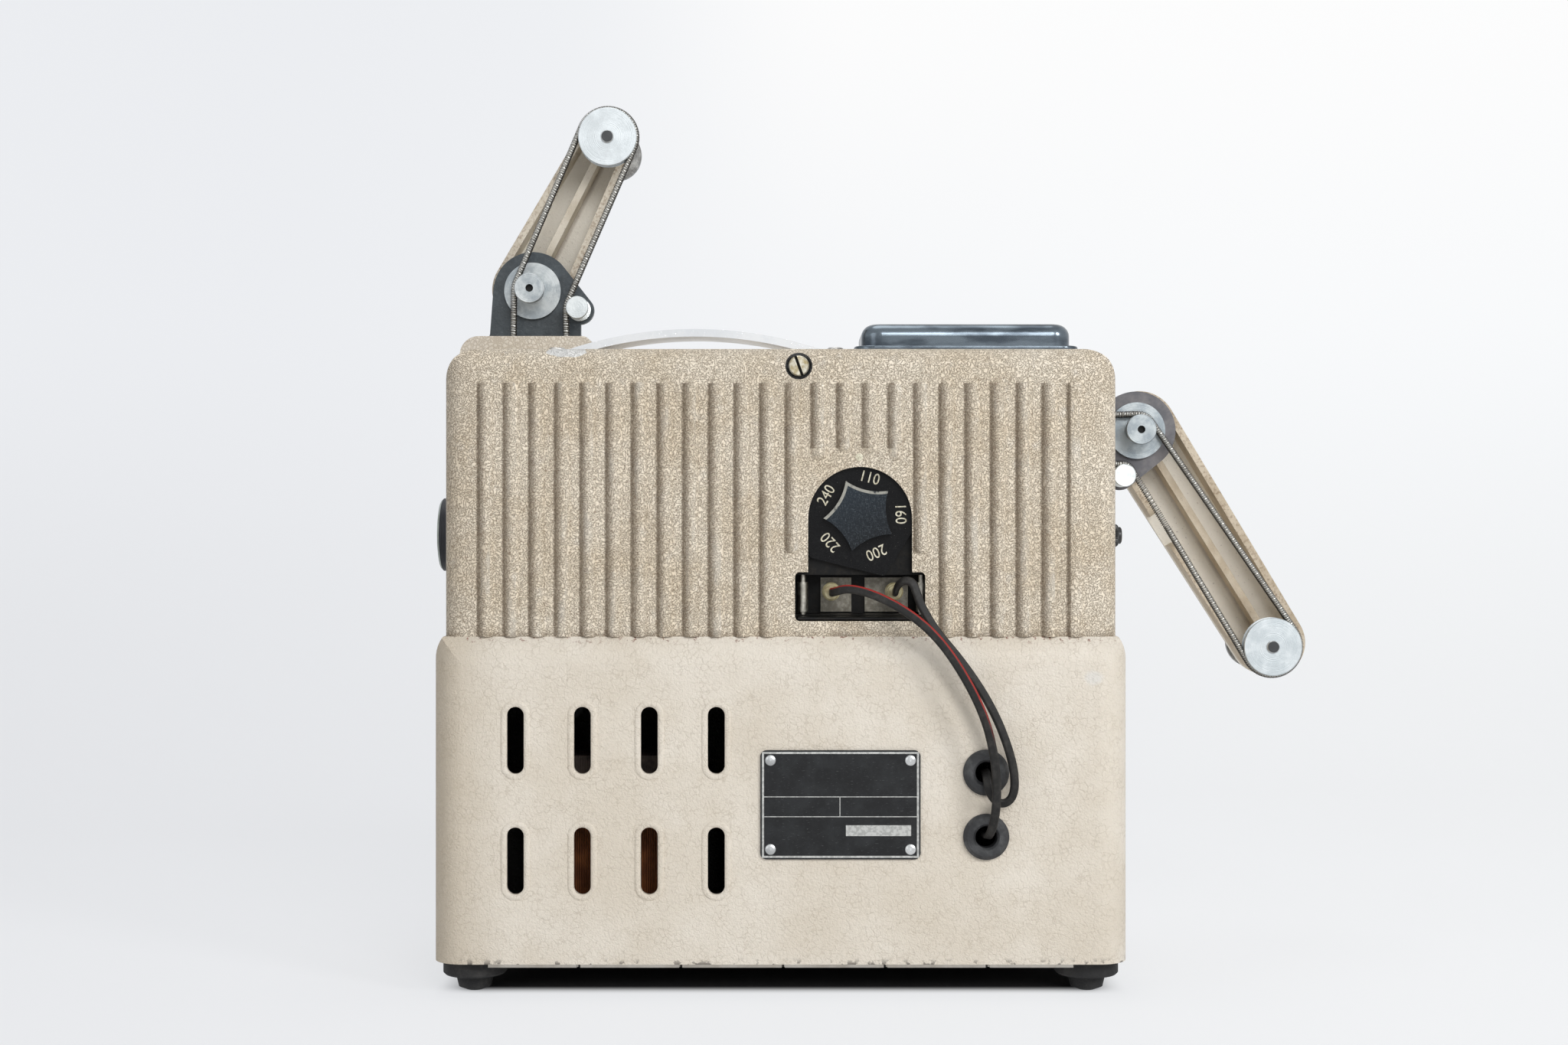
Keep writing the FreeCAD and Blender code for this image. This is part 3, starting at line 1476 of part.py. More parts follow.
def build_upper_belt():
    edges = belt_edges(belt_wheels("upper"), s.upper_belt_y.number)
    half = len(edges) // 2
    halves = [tube(edges[:half], s.belt_radius.number), tube(edges[half:], s.belt_radius.number)]
    node("upper_belt", solid("upper_belt", halves[0].fuse(halves[1])))


def arc_from(start, heading, end):
    """The arc that leaves start along heading and reaches end."""
    chord = end - start
    lean = heading.getAngle(chord)
    side = heading - chord * (heading.dot(chord) / chord.dot(chord))
    if side.Length < 1e-9:
        return Part.LineSegment(start, end).toShape()
    middle = start + chord * 0.5 + side.normalize() * (chord.Length / 2 * math.tan(lean / 2))
    return Part.Arc(start, middle, end).toShape()


def biarc(start, start_heading, end, end_heading):
    """Two arcs that follow on smoothly, from one point and heading to another."""
    run = end - start
    both = start_heading + end_heading
    square = 2 * (start_heading.dot(end_heading) - 1)
    if abs(square) < 1e-12:
        reach = run.dot(run) / (2 * run.dot(both))
    else:
        half = run.dot(both)
        reach = (half - math.sqrt(half * half - square * run.dot(run))) / square
    joint = (start + end + (start_heading - end_heading) * reach) * 0.5
    first = arc_from(start, start_heading, joint)
    back = arc_from(end, end_heading * -1, joint)
    return [first, back]


def open_coil(start, heading):
    """The stretched coils of a spring belt and the straight wires at both ends, from start along heading."""
    count, pitch = s.coil_turns.number, s.coil_pitch.number
    wire, tail = s.coil_wire.number, s.coil_tail.number
    radius = s.belt_radius.number - wire
    side = Vector(0, 1, 0)
    up = heading.cross(side)
    ease = 2 * radius

    def on_coil(turn):
        angle = 2 * math.pi * turn
        out = side * math.cos(angle) + up * math.sin(angle)
        round_way = up * math.cos(angle) - side * math.sin(angle)
        point = start + heading * (tail + ease + pitch * turn) + out * radius
        slope = heading * pitch + round_way * (2 * math.pi * radius)
        return point, slope.normalize()

    inner = start + heading * tail
    spots = [(inner, heading)]
    spots += [on_coil(k / 4) for k in range(int(count) * 4 + 1)]
    end = start + heading * (tail + 2 * ease + pitch * count)
    spots.append((end, heading))
    edges = [Part.LineSegment(start, inner).toShape()]
    for (a, a_heading), (b, b_heading) in zip(spots, spots[1:]):
        edges += biarc(a, a_heading, b, b_heading)
    far = end + heading * s.hook_length.number
    edges.append(Part.LineSegment(end, far).toShape())
    return edges, far


def least_gap(edges, wire, apart):
    """The least gap of a wire to itself, between points further apart along it than given."""
    spots, travelled = [], 0.0
    for edge in edges:
        count = max(2, int(edge.Length / 0.12))
        for point in edge.discretize(Number=count)[:-1]:
            spots.append((travelled, point))
            travelled += edge.Length / (count - 1)
    window = int(4 * apart / 0.1)
    least = 1e9
    for k, (here, point) in enumerate(spots):
        for there, other in spots[k + 1:k + window]:
            if there - here > apart:
                least = min(least, point.distanceToPoint(other))
    return least - 2 * wire


def build_lower_belt():
    """The lower belt: closed coils as one tube, and the stretched coils between its idler and its hook."""
    radius, wire = s.belt_radius.number, s.coil_wire.number
    edges = belt_edges(belt_wheels("lower"), s.lower_belt_y.number)
    # Legs and arcs in order: drive to pivot, pivot, to reel, reel, to idler, idler, to drive, drive
    run = edges[4]
    away = run.valueAt(run.FirstParameter)
    near = run.valueAt(run.LastParameter)
    heading = (away - near).normalize()
    coil, hook_end = open_coil(near - heading * 0.3, heading)
    closed_end = hook_end - heading * 0.6
    loop = edges[5:] + edges[:4]
    half = len(loop) // 2
    pieces = [tube(loop[:half], radius), tube(loop[half:], radius)]
    taper = s.hook_taper.number
    shoulder = closed_end + heading * taper
    pieces.append(Part.makeCone(radius * 0.55, radius, taper, closed_end, heading))
    pieces.append(Part.makeCylinder(radius, (away - shoulder).Length, shoulder, heading))
    spring = tube(coil, wire)
    pieces.append(spring)
    turn = 2 * math.pi * (radius - wire)
    wanted = math.pi * wire ** 2 * sum(edge.Length for edge in coil)
    print(f"lower_belt: {s.coil_turns.number:.0f} open coils, least gap to itself"
          f" {least_gap(coil, wire, turn * 0.6):.2f} mm, volume {spring.Volume:.2f} of {wanted:.2f} mm3")
    node("lower_belt", solid("lower_belt", pieces[0].multiFuse(pieces[1:])))


# The leads' routes, chosen by eye: x, y, z in millimetres
RED_LEAD_ROUTE = [
    (19.9, -62.0, 146.9),
    (19.9, -67.2, 146.9),
    (26.4, -72.4, 149.0),
    (37.4, -75.0, 146.0),
    (51.0, -76.4, 138.4),
    (62.0, -77.4, 128.0),
    (71.5, -78.0, 113.5),
    (78.2, -78.0, 99.5),
    (81.6, -77.6, 86.5),
    (82.9, -77.4, 74.5),
    (82.7, -77.0, 64.5),
    (81.6, -75.6, 57.4),
    (80.4, -71.8, 53.2),
    (79.8, -67.4, 52.3),
    (79.7, -62.8, 52.2),
]
BLACK_LEAD_ROUTE = [
    (44.6, -62.0, 146.9),
    (44.6, -66.2, 146.9),
    (45.0, -69.2, 149.3),
    (47.2, -72.0, 151.9),
    (50.9, -73.2, 151.2),
    (52.3, -73.5, 147.0),
    (54.4, -73.7, 141.2),
    (59.8, -73.8, 132.2),
    (68.2, -73.8, 122.4),
    (76.2, -73.6, 111.4),
    (82.8, -73.2, 99.8),
    (87.3, -72.8, 88.6),
    (89.8, -72.2, 79.6),
    (90.3, -71.9, 73.8),
    (90.0, -71.8, 70.0),
    (88.6, -71.7, 66.9),
    (85.5, -71.6, 65.3),
    (82.2, -71.8, 67.2),
    (80.2, -72.4, 71.0),
    (79.7, -71.4, 75.0),
    (79.7, -67.6, 77.0),
    (79.7, -62.8, 77.1),
]


def route_edges(points, radii):
    """Straight runs joined by tangent arcs, each arc as large as its two runs allow."""
    spots = [Vector(*point) for point in points]
    edges = []
    start = spots[0]
    for before, here, after in zip(spots, spots[1:], spots[2:]):
        into, out = here - before, after - here
        half_turn = into.getAngle(out) / 2
        shorter = min(into.Length, out.Length)
        cutback = 0.45 * shorter
        radii.append(cutback / math.tan(half_turn))
        first = here - into.normalize() * cutback
        last = here + out.normalize() * cutback
        inward = (first + last) * 0.5 - here
        reach = radii[-1] / math.cos(half_turn) - radii[-1]
        middle = here + inward.normalize() * reach
        edges.append(Part.LineSegment(start, first).toShape())
        edges.append(Part.Arc(first, middle, last).toShape())
        start = last
    edges.append(Part.LineSegment(start, spots[-1]).toShape())
    return edges


def build_leads():
    for label, route in (("red_lead", RED_LEAD_ROUTE), ("black_lead", BLACK_LEAD_ROUTE)):
        radii = []
        edges = route_edges(route, radii)
        form = tube(edges, s.lead_radius.number)
        length = sum(edge.Length for edge in edges)
        wanted = math.pi * s.lead_radius.number ** 2 * length
        print(f"{label}: {length:.1f} mm long, least radius {min(radii):.1f} mm,"
              f" volume {form.Volume:.0f} of {wanted:.0f} mm3")
        node(label, solid(label, form))


# Motor, shutter and film drive
def build_motor():
    at = (0, s.motor_y, s.axis_z)
    worm_right = s.motor_left + s.worm_length
    ring_step = s.worm_length / 8
    profile = [(0, s.motor_left - 8), (s.shaft_radius, s.motor_left - 8), (s.shaft_radius, s.motor_left)]
    for k in range(8):
        low = s.motor_left + ring_step * k
        profile += [(s.worm_radius - 1.4, low), (s.worm_radius, low + 0.8), (s.worm_radius, low + 1.5)]
    groove = s.shutter_belt_width / 2 + 0.3
    profile += [
        (s.worm_radius - 1.4, worm_right), (s.shaft_radius, worm_right),
        (s.shaft_radius, s.pulley_x - groove - 1),
        (s.shutter_pulley + s.pulley_flange, s.pulley_x - groove - 1),
        (s.shutter_pulley + s.pulley_flange, s.pulley_x - groove),
        (s.shutter_pulley, s.pulley_x - groove),
        (s.shutter_pulley, s.pulley_x + groove),
        (s.shutter_pulley + s.pulley_flange, s.pulley_x + groove),
        (s.shutter_pulley + s.pulley_flange, s.pulley_x + groove + 1),
        (s.shaft_radius, s.pulley_x + groove + 1),
        (s.shaft_radius, s.inch_knob_x + s.inch_knob_length - 2),
        (0, s.inch_knob_x + s.inch_knob_length - 2),
    ]
    node("motor_shaft", turned("motor_shaft", "X", at, profile))
    rotor_left, rotor_right = s.stator_left + 3, s.stator_left + s.stator_length - 3
    rotor = [
        (s.shaft_radius, rotor_left), (s.rotor_radius, rotor_left), (s.rotor_radius, rotor_right),
        (s.shaft_radius, rotor_right)
    ]
    node("motor_rotor", turned("motor_rotor", "X", at, rotor))
    stator = rod(
        "stator_stack", "X", (s.stator_left, s.motor_y, s.axis_z), s.stator_radius, s.stator_length
    )
    leg_mid = s.stator_left + s.stator_length / 2
    leg = box(
        "stator_leg", (leg_mid - 12, s.motor_y, s.axis_z - 18), (leg_mid + 12, front_inner, s.axis_z + 18)
    )
    bore = rod(
        "stator_bore", "X", (s.stator_left - 1, s.motor_y, s.axis_z),
        s.rotor_radius + s.rotor_gap, s.stator_length + 2,
    )
    node("motor_stator", cut("motor_stator", joined("stator_form", [stator, leg]), [bore]))
    hub = s.shaft_radius + 3
    fan = [
        (s.shaft_radius, 0), (s.fan_radius, 0), (s.fan_radius, 1.2), (hub, 1.2), (hub, s.fan_width),
        (s.shaft_radius, s.fan_width)
    ]
    blade = [(hub - 0.5, -0.6), (s.fan_radius - 0.5, 3.4), (s.fan_radius - 0.5, 4.6), (hub - 0.5, 0.6)]
    fan_body = patterned(
        "cooling_fan", "X", (s.fan_left, s.motor_y, s.axis_z), fan, blade, 0.6, s.fan_width, 10
    )
    node("cooling_fan", fan_body)
    knob = [
        (s.shaft_radius, 0), (s.inch_knob_radius - 0.8, 0), (s.inch_knob_radius, 0.8),
        (s.inch_knob_radius, s.inch_knob_length - 1.2), (s.inch_knob_radius - 1.2, s.inch_knob_length),
        (0, s.inch_knob_length), (0, s.inch_knob_length - 2), (s.shaft_radius, s.inch_knob_length - 2),
    ]
    flute = [
        (s.inch_knob_radius - 0.45, -0.05), (s.inch_knob_radius + 1, -0.6), (s.inch_knob_radius + 1, 0.6),
        (s.inch_knob_radius - 0.45, 0.05),
    ]
    knob_body = patterned(
        "inching_knob", "X", (s.inch_knob_x, s.motor_y, s.axis_z), knob, flute, -1,
        s.inch_knob_length + 1, 24, cut=True
    )
    node("inching_knob", knob_body)


def build_shutter():
    groove = s.shutter_belt_width / 2 + 0.3
    at = (0, s.shutter_y, s.axis_z)
    near = s.shutter_x - s.shutter_thick / 2
    far = s.shutter_x + s.shutter_thick / 2
    profile = [
        (0, near - 3), (s.shaft_radius, near - 3), (s.shaft_radius, far), (s.shaft_radius + 3, far),
        (s.shaft_radius + 3, far + 4), (s.shaft_radius, far + 4),
        (s.shaft_radius, s.pulley_x - groove - 1),
        (s.shutter_pulley + s.pulley_flange, s.pulley_x - groove - 1),
        (s.shutter_pulley + s.pulley_flange, s.pulley_x - groove),
        (s.shutter_pulley, s.pulley_x - groove), (s.shutter_pulley, s.pulley_x + groove),
        (s.shutter_pulley + s.pulley_flange, s.pulley_x + groove),
        (s.shutter_pulley + s.pulley_flange, s.pulley_x + groove + 1),
        (0, s.pulley_x + groove + 1),
    ]
    node("shutter_shaft", turned("shutter_shaft", "X", at, profile))
    disc = [
        (s.shaft_radius, 0), (s.shutter_radius, 0), (s.shutter_radius, s.shutter_thick),
        (s.shaft_radius, s.shutter_thick)
    ]
    window = [
        (s.shutter_radius * 0.52, -5), (s.shutter_radius + 2, -9), (s.shutter_radius + 2, 9),
        (s.shutter_radius * 0.52, 5),
    ]
    blades = patterned(
        "shutter_disc", "X", (near, s.shutter_y, s.axis_z), disc, window, -1, s.shutter_thick + 1, 3,
        cut=True
    )
    node("shutter_disc", blades)
    inner = s.shutter_pulley + s.wheel_gap
    outer = inner + s.shutter_belt_thick
    x, width = s.pulley_x - s.shutter_belt_width / 2, s.shutter_belt_width

    def stadium(label, radius, left, deep):
        ends = [
            rod(f"{label}_end", "X", (left, y, s.axis_z), radius, deep) for y in (s.motor_y, s.shutter_y)
        ]
        middle = box(
            f"{label}_middle", (left, s.motor_y, s.axis_z - radius),
            (left + deep, s.shutter_y, s.axis_z + radius)
        )
        return joined(label, ends + [middle])

    loop = cut(
        "shutter_belt", stadium("belt_out", outer, x, width),
        [stadium("belt_in", inner, x - 1, width + 2)]
    )
    node("shutter_belt", loop)


def build_film_drive():
    shaft = s.shaft_radius
    near = s.film_y - s.sprocket_width / 2
    far = s.film_y + s.sprocket_width / 2
    rear_end = s.motor_y - s.wheel_thick / 2 - 2
    drum = [
        (0, rear_end), (shaft, rear_end), (shaft, near), (s.sprocket_radius + 1, near),
        (s.sprocket_radius + 1, near + 1), (s.sprocket_radius, near + 1.2),
        (s.sprocket_radius, far - 1.2),
        (s.sprocket_radius + 1, far - 1), (s.sprocket_radius + 1, far), (shaft + 2, far),
        (shaft + 2, s.sprocket_end), (0, s.sprocket_end),
    ]
    tooth = [
        (s.sprocket_radius - 0.5, -0.5), (s.sprocket_radius + 0.9, -0.25),
        (s.sprocket_radius + 0.9, 0.25),
        (s.sprocket_radius - 0.5, 0.5),
    ]
    for side, z in (("upper", drive_z), ("lower", takeup_z)):
        body = patterned(
            f"{side}_sprocket", "Y", (s.drive_x, 0, z), drum, tooth, near + 1.8, near + 2.8, 16
        )
        node(f"{side}_sprocket", body)
        half = s.wheel_thick / 2
        root_radius = s.wheel_radius - s.tooth_depth
        rim = [(shaft, -half), (root_radius, -half), (root_radius, half), (shaft, half)]
        width = root_radius * (2 * math.pi / 52 / 4)
        gear_tooth = [(root_radius - 1, -width), (root_radius, -width), (s.wheel_radius, -width / 2),
                      (s.wheel_radius, width / 2), (root_radius, width), (root_radius - 1, width)]
        wheel = patterned(
            f"{side}_worm_wheel", "Y", (s.drive_x, s.motor_y, z), rim, gear_tooth, -half, half, 52
        )
        node(f"{side}_worm_wheel", wheel)
    lines = (s.upper_belt_y, s.lower_belt_y)
    groove = s.belt_radius + 0.4
    first, last = lines[0] - groove - 1.5, lines[1] + groove + 1.5
    profile = [(shaft, first), (s.reel_pulley, first)]
    for line in lines:
        profile += [
            (s.reel_pulley, line - groove), (s.reel_groove, line - groove + 0.3),
            (s.reel_groove, line + groove - 0.3), (s.reel_pulley, line + groove),
        ]
    profile += [(s.reel_pulley, last), (shaft, last)]
    node("belt_drive_pulley", turned("belt_drive_pulley", "Y", (s.drive_x, 0, drive_z), profile))
    shoes = []
    inner, outer = s.sprocket_radius + 2.2, s.sprocket_radius + 3.7
    for z in (drive_z, takeup_z):
        ring = cut(
            "shoe_ring",
            rod("shoe_outer", "Y", (s.drive_x, front, z), outer, s.sprocket_end - front),
            [rod("shoe_inner", "Y", (s.drive_x, front - 1, z), inner, s.sprocket_end - front + 2)],
        )
        window = box(
            "shoe_window",
            (s.drive_x - outer - 1, front - 1, z - outer * 0.7),
            (s.drive_x - outer * 0.35, s.sprocket_end + 1, z + outer * 0.7),
        )
        shoes.append(shared("shoe", [ring, window]))
    node("sprocket_shoes", group("sprocket_shoes", shoes))


# Film side
def build_gate():
    right = s.gate_face + s.gate_thick
    far = front + s.gate_depth
    block = prism(
        "gate_form", "Z", rectangle(s.gate_face, front, right, far), s.axis_z - s.gate_half,
        s.axis_z + s.gate_half,
        {2: 3, 3: 3},
    )
    slot = s.shutter_radius + 0.2
    lens_seat = right - s.condenser_thick
    tools = [
        box(
            "gate_slot",
            (s.shutter_x - 2.2, front - 1, s.axis_z - slot),
            (s.shutter_x + 2.2, s.shutter_y + s.shutter_radius + 2, s.axis_z + slot),
        ),
        box(
            "film_way",
            (s.gate_face - 1, s.film_y - 4.1, s.axis_z - s.gate_half - 1),
            (s.gate_face + 0.5, s.film_y + 4.1, s.axis_z + s.gate_half + 1),
        ),
        box(
            "aperture", (s.gate_face - 1, s.film_y - 2.4, s.axis_z - 1.8),
            (s.shutter_x, s.film_y + 2.4, s.axis_z + 1.8)
        ),
        rod("light_way", "X", (s.shutter_x, s.film_y, s.axis_z), 6, lens_seat - s.shutter_x + 1),
        rod(
            "condenser_seat", "X", (lens_seat, s.film_y, s.axis_z), s.condenser_radius,
            s.condenser_thick + 1
        ),
    ]
    node("gate_block", cut("gate_block", block, tools))
    glass = [
        (0, 0.6), (s.condenser_radius * 0.55, 0.9), (s.condenser_radius, 2.0),
        (s.condenser_radius, s.condenser_thick),
        (0, s.condenser_thick),
    ]
    node("condenser_lens", turned("condenser_lens", "X", (lens_seat, s.film_y, s.axis_z), glass))


def build_lens():
    pad_face = s.gate_face - 0.5
    left = pad_face - s.holder_thick
    near, far = front + 1, front + s.gate_depth
    low, high = s.axis_z - s.holder_half, s.axis_z + s.holder_half
    block = prism("holder_form", "X", rectangle(near, low, far, high), left, pad_face - 2, {1: 8, 2: 8})
    pad = box("pressure_pad", (pad_face - 3, s.film_y - 4, low + 2), (pad_face, s.film_y + 4, high - 2))
    tongue = box(
        "holder_tongue", (left + 2, front_inner - 0.5, s.axis_z - 2.6),
        (pad_face - 4, near + 1, s.axis_z + 2.6)
    )
    tools = [
        rod(
            "lens_bore", "X", (left - 1, s.film_y, s.axis_z), s.barrel_radius + s.running_gap,
            s.holder_thick - 2
        ),
        box(
            "pad_window", (left, s.film_y - 2.6, s.axis_z - 2),
            (pad_face + 1, s.film_y + 2.6, s.axis_z + 2)
        ),
    ]
    node("lens_holder", cut("lens_holder", joined("holder_body", [block, pad, tongue]), tools))
    rim_right = s.barrel_left + s.rim_length
    barrel = [
        (s.barrel_bore + 2.5, s.barrel_left), (s.rim_radius - 1, s.barrel_left),
        (s.rim_radius, s.barrel_left + 1),
        (s.rim_radius, rim_right - 1), (s.rim_radius - 1, rim_right), (s.barrel_radius, rim_right),
        (s.barrel_radius, s.barrel_right), (s.barrel_bore, s.barrel_right),
        (s.barrel_bore, s.barrel_left + 4),
    ]
    at = (0, s.film_y, s.axis_z)
    node("lens_barrel", turned("lens_barrel", "X", at, barrel))
    glass_left = s.barrel_left + 5
    glass = [
        (0, glass_left), (s.barrel_bore * 0.5, glass_left + 0.4), (s.barrel_bore, glass_left + 1.8),
        (s.barrel_bore, glass_left + 5), (0, glass_left + 5)
    ]
    node("lens_glass", turned("lens_glass", "X", at, glass))


def build_lamp():
    left = s.gate_face + s.gate_thick
    far = front + s.house_depth
    wall = s.house_wall
    outer = prism(
        "house_outer", "Z", rectangle(left, front, s.house_right, far), s.house_low, s.house_top,
        {2: s.house_round, 3: s.house_round}, soft_high=3.0,
    )
    inner = prism(
        "house_inner", "Z", rectangle(left + wall, front - 1, s.house_right - wall, far - wall),
        s.house_low + wall, s.house_top - wall, {2: s.house_round - wall, 3: s.house_round - wall},
    )
    tools = [inner, rod("light_hole", "X", (left - 1, s.film_y, s.axis_z), 9, wall + 2)]
    louvre_pitch, louvre_width = 7.0, 3.2
    for k in range(6):
        x = s.lamp_x - 2.5 * louvre_pitch + k * louvre_pitch
        for low, high in ((s.house_low + 12, s.house_low + 30), (s.house_top - 34, s.house_top - 14)):
            tools.append(
                box(
                    "louvre", (x - louvre_width / 2, far - wall - 1, low),
                    (x + louvre_width / 2, far + 1, high)
                )
            )
    node("lamp_house", cut("lamp_house", outer, tools))
    floor = s.house_low + wall
    socket = [
        (0, floor), (11, floor), (11, floor + 16), (9.5, floor + 18), (8, floor + 18), (8, floor + 8),
        (0, floor + 8)
    ]
    at = (s.lamp_x, s.film_y, 0)
    node("lamp_socket", turned("lamp_socket", "Z", at, socket))
    seat = floor + 8
    radius = s.lamp_radius
    bulb = [
        (0, seat), (8, seat), (8, seat + 16), (radius - 2, seat + 19), (radius, seat + 26),
        (radius, seat + 62),
        (radius - 2.5, seat + 69), (radius - 7, seat + 73), (0, seat + 75),
    ]
    node("projection_lamp", turned("projection_lamp", "Z", at, bulb))


def build_control_knob():
    at = (s.knob_x, 0, s.knob_z)
    profile = [
        (0, front_inner - 4), (s.shaft_radius, front_inner - 4), (s.shaft_radius, front + 0.8),
        (s.knob_radius, front + 0.8), (s.knob_radius, front + 3.5), (s.knob_radius - 3, front + 5),
        (s.knob_radius - 4, front + 15), (s.knob_radius - 5, front + 16), (0, front + 16),
    ]
    flute = [
        (s.knob_radius - 4.6, -0.7), (s.knob_radius, -1.6), (s.knob_radius, 1.6),
        (s.knob_radius - 4.6, 0.7),
    ]
    knob = patterned("control_knob", "Y", at, profile, flute, front + 5.5, front + 18, 12, cut=True)
    node("control_knob", knob)


def build_transformer():
    right, far = s.core_left + s.core_width, s.core_rear + s.core_depth
    high = s.base_thick + s.core_height
    core = box("core_block", (s.core_left, s.core_rear, s.base_thick), (right, far, high))
    limb = s.core_limb
    middle = (s.core_left + right) / 2
    windows = []
    for a, b in ((s.core_left + limb / 2, middle - limb / 2), (middle + limb / 2, right - limb / 2)):
        windows.append(
            box("core_window", (a, s.core_rear - 1, s.base_thick + limb), (b, far + 1, high - limb))
        )
    node("transformer_core", cut("transformer_core", core, windows))
    over = s.coil_overhang
    gap = 0.2
    low_z, high_z = s.base_thick + limb + gap, high - limb - gap
    wound = prism(
        "coil_block", "Z",
        rectangle(s.core_left + limb / 2 + gap, s.core_rear - over, right - limb / 2 - gap, far + over),
        low_z, high_z, {k: 8 for k in range(4)},
    )
    hole = box(
        "coil_hole", (middle - limb / 2 - gap, s.core_rear - gap, low_z - 1),
        (middle + limb / 2 + gap, far + gap, high_z + 1)
    )
    node("transformer_coil", cut("transformer_coil", wound, [hole]))


build_rear_cover()
build_lower_housing()
build_front_casting()
build_base()
build_cover_screw()
build_rating_plate()
build_grommets()
build_contact_block()
build_contacts()
build_plugs()
build_selector()
build_handle()
build_lid()
build_arm("upper", False)
build_arm("lower", True)
build_brackets()
build_pivots()
build_spindles()
build_upper_belt()
build_lower_belt()
build_leads()
build_motor()
build_shutter()
build_film_drive()
build_gate()
build_lens()
build_lamp()
build_control_knob()
build_transformer()
document.recompute()

for item in document.Objects:
    if any(word in item.State for word in ("Invalid", "Error")):
        raise SystemExit(f"{item.Label} did not build: {item.State}")
for label, item in nodes.items():
    if item.Shape.isNull() or not item.Shape.isValid() or not item.Shape.Solids:
        raise SystemExit(f"{label} has no sound shape")

os.makedirs("parts", exist_ok=True)
for label, item in nodes.items():
    item.Shape.exportStep(f"parts/{label}.step")
print(f"{len(nodes)} pieces written")
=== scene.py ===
import math

import bpy
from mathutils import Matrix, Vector


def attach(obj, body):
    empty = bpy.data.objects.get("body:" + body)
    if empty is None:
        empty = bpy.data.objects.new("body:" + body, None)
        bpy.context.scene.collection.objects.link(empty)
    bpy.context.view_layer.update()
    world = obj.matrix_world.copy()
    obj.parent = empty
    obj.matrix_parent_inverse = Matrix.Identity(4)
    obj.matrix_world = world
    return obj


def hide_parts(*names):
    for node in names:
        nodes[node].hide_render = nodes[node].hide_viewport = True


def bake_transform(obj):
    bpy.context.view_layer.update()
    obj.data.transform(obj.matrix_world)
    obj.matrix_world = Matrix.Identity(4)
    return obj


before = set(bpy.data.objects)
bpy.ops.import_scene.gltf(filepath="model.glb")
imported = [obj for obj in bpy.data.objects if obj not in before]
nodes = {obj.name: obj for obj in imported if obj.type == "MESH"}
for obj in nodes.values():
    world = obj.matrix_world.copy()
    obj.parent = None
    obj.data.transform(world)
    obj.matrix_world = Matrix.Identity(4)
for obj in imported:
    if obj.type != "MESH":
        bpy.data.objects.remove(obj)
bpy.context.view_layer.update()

mm = 0.001
print("frame loaded:", len(nodes), "nodes")

# middles that pieces turn round or sit on, as x and z in millimetres (y and z for the motor's line)
arms = {
    "upper": {"pivot": (-107.3, 274.1), "reel": (-74.204, 339.054), "idler": (-87.0, 265.9)},
    "lower": {"pivot": (153.7, 213.8), "reel": (211.32, 120.687), "idler": (146.7, 194.2)},
}
middles = {
    "upperSprocket": (-103.2, 200.6), "lowerSprocket": (-103.2, 136.6), "selector": (31.0, 177.0),
    "coverScrew": (7.1, 235.2), "motor": (12.5, 168.6), "shutter": (52.0, 168.6),
}

# the camera stands level behind the machine, where the photographer stood
view = {"x": 1.3, "y": -911.5, "z": 174.1, "lens": 49.99, "sensor": 36.0, "near": 0.01, "far": 50}
bpy.ops.object.camera_add(
    location=(view["x"] * mm, view["y"] * mm, view["z"] * mm), rotation=(math.pi / 2, 0, 0)
)
camera = bpy.context.object
camera.name = "photoCamera"
camera.data.lens = view["lens"]
camera.data.sensor_width = view["sensor"]
camera.data.clip_start = view["near"]
camera.data.clip_end = view["far"]
bpy.context.scene.camera = camera
bpy.context.scene.view_settings.view_transform = "Standard"


class Flow:
    # a number or colour on its way through a material, so that its maths reads as plain sums
    def __init__(self, recipe, socket):
        self.recipe = recipe
        self.socket = socket

    def maths(self, operation, *values):
        return self.recipe.node("Math", {"operation": operation}, dict(enumerate(values)))

    def above(self, low, high):
        # 0 below low, 1 above high, and a soft step between them
        steps = {0: self, 1: low, 2: high, 3: 0.0, 4: 1.0}
        return self.recipe.node("MapRange", {"interpolation_type": "SMOOTHSTEP"}, steps)


sums = {
    "__add__": "ADD", "__sub__": "SUBTRACT", "__mul__": "MULTIPLY", "__truediv__": "DIVIDE",
    "__pow__": "POWER", "__lt__": "LESS_THAN", "__gt__": "GREATER_THAN", "__abs__": "ABSOLUTE",
    "most": "MAXIMUM", "least": "MINIMUM", "fraction": "FRACT", "wave": "SINE",
}
for name, sign in sums.items():
    setattr(Flow, name, lambda self, *others, sign=sign: self.maths(sign, self, *others))
for name, sign in {"__radd__": "ADD", "__rsub__": "SUBTRACT", "__rmul__": "MULTIPLY"}.items():
    setattr(Flow, name, lambda self, other, sign=sign: self.maths(sign, other, self))


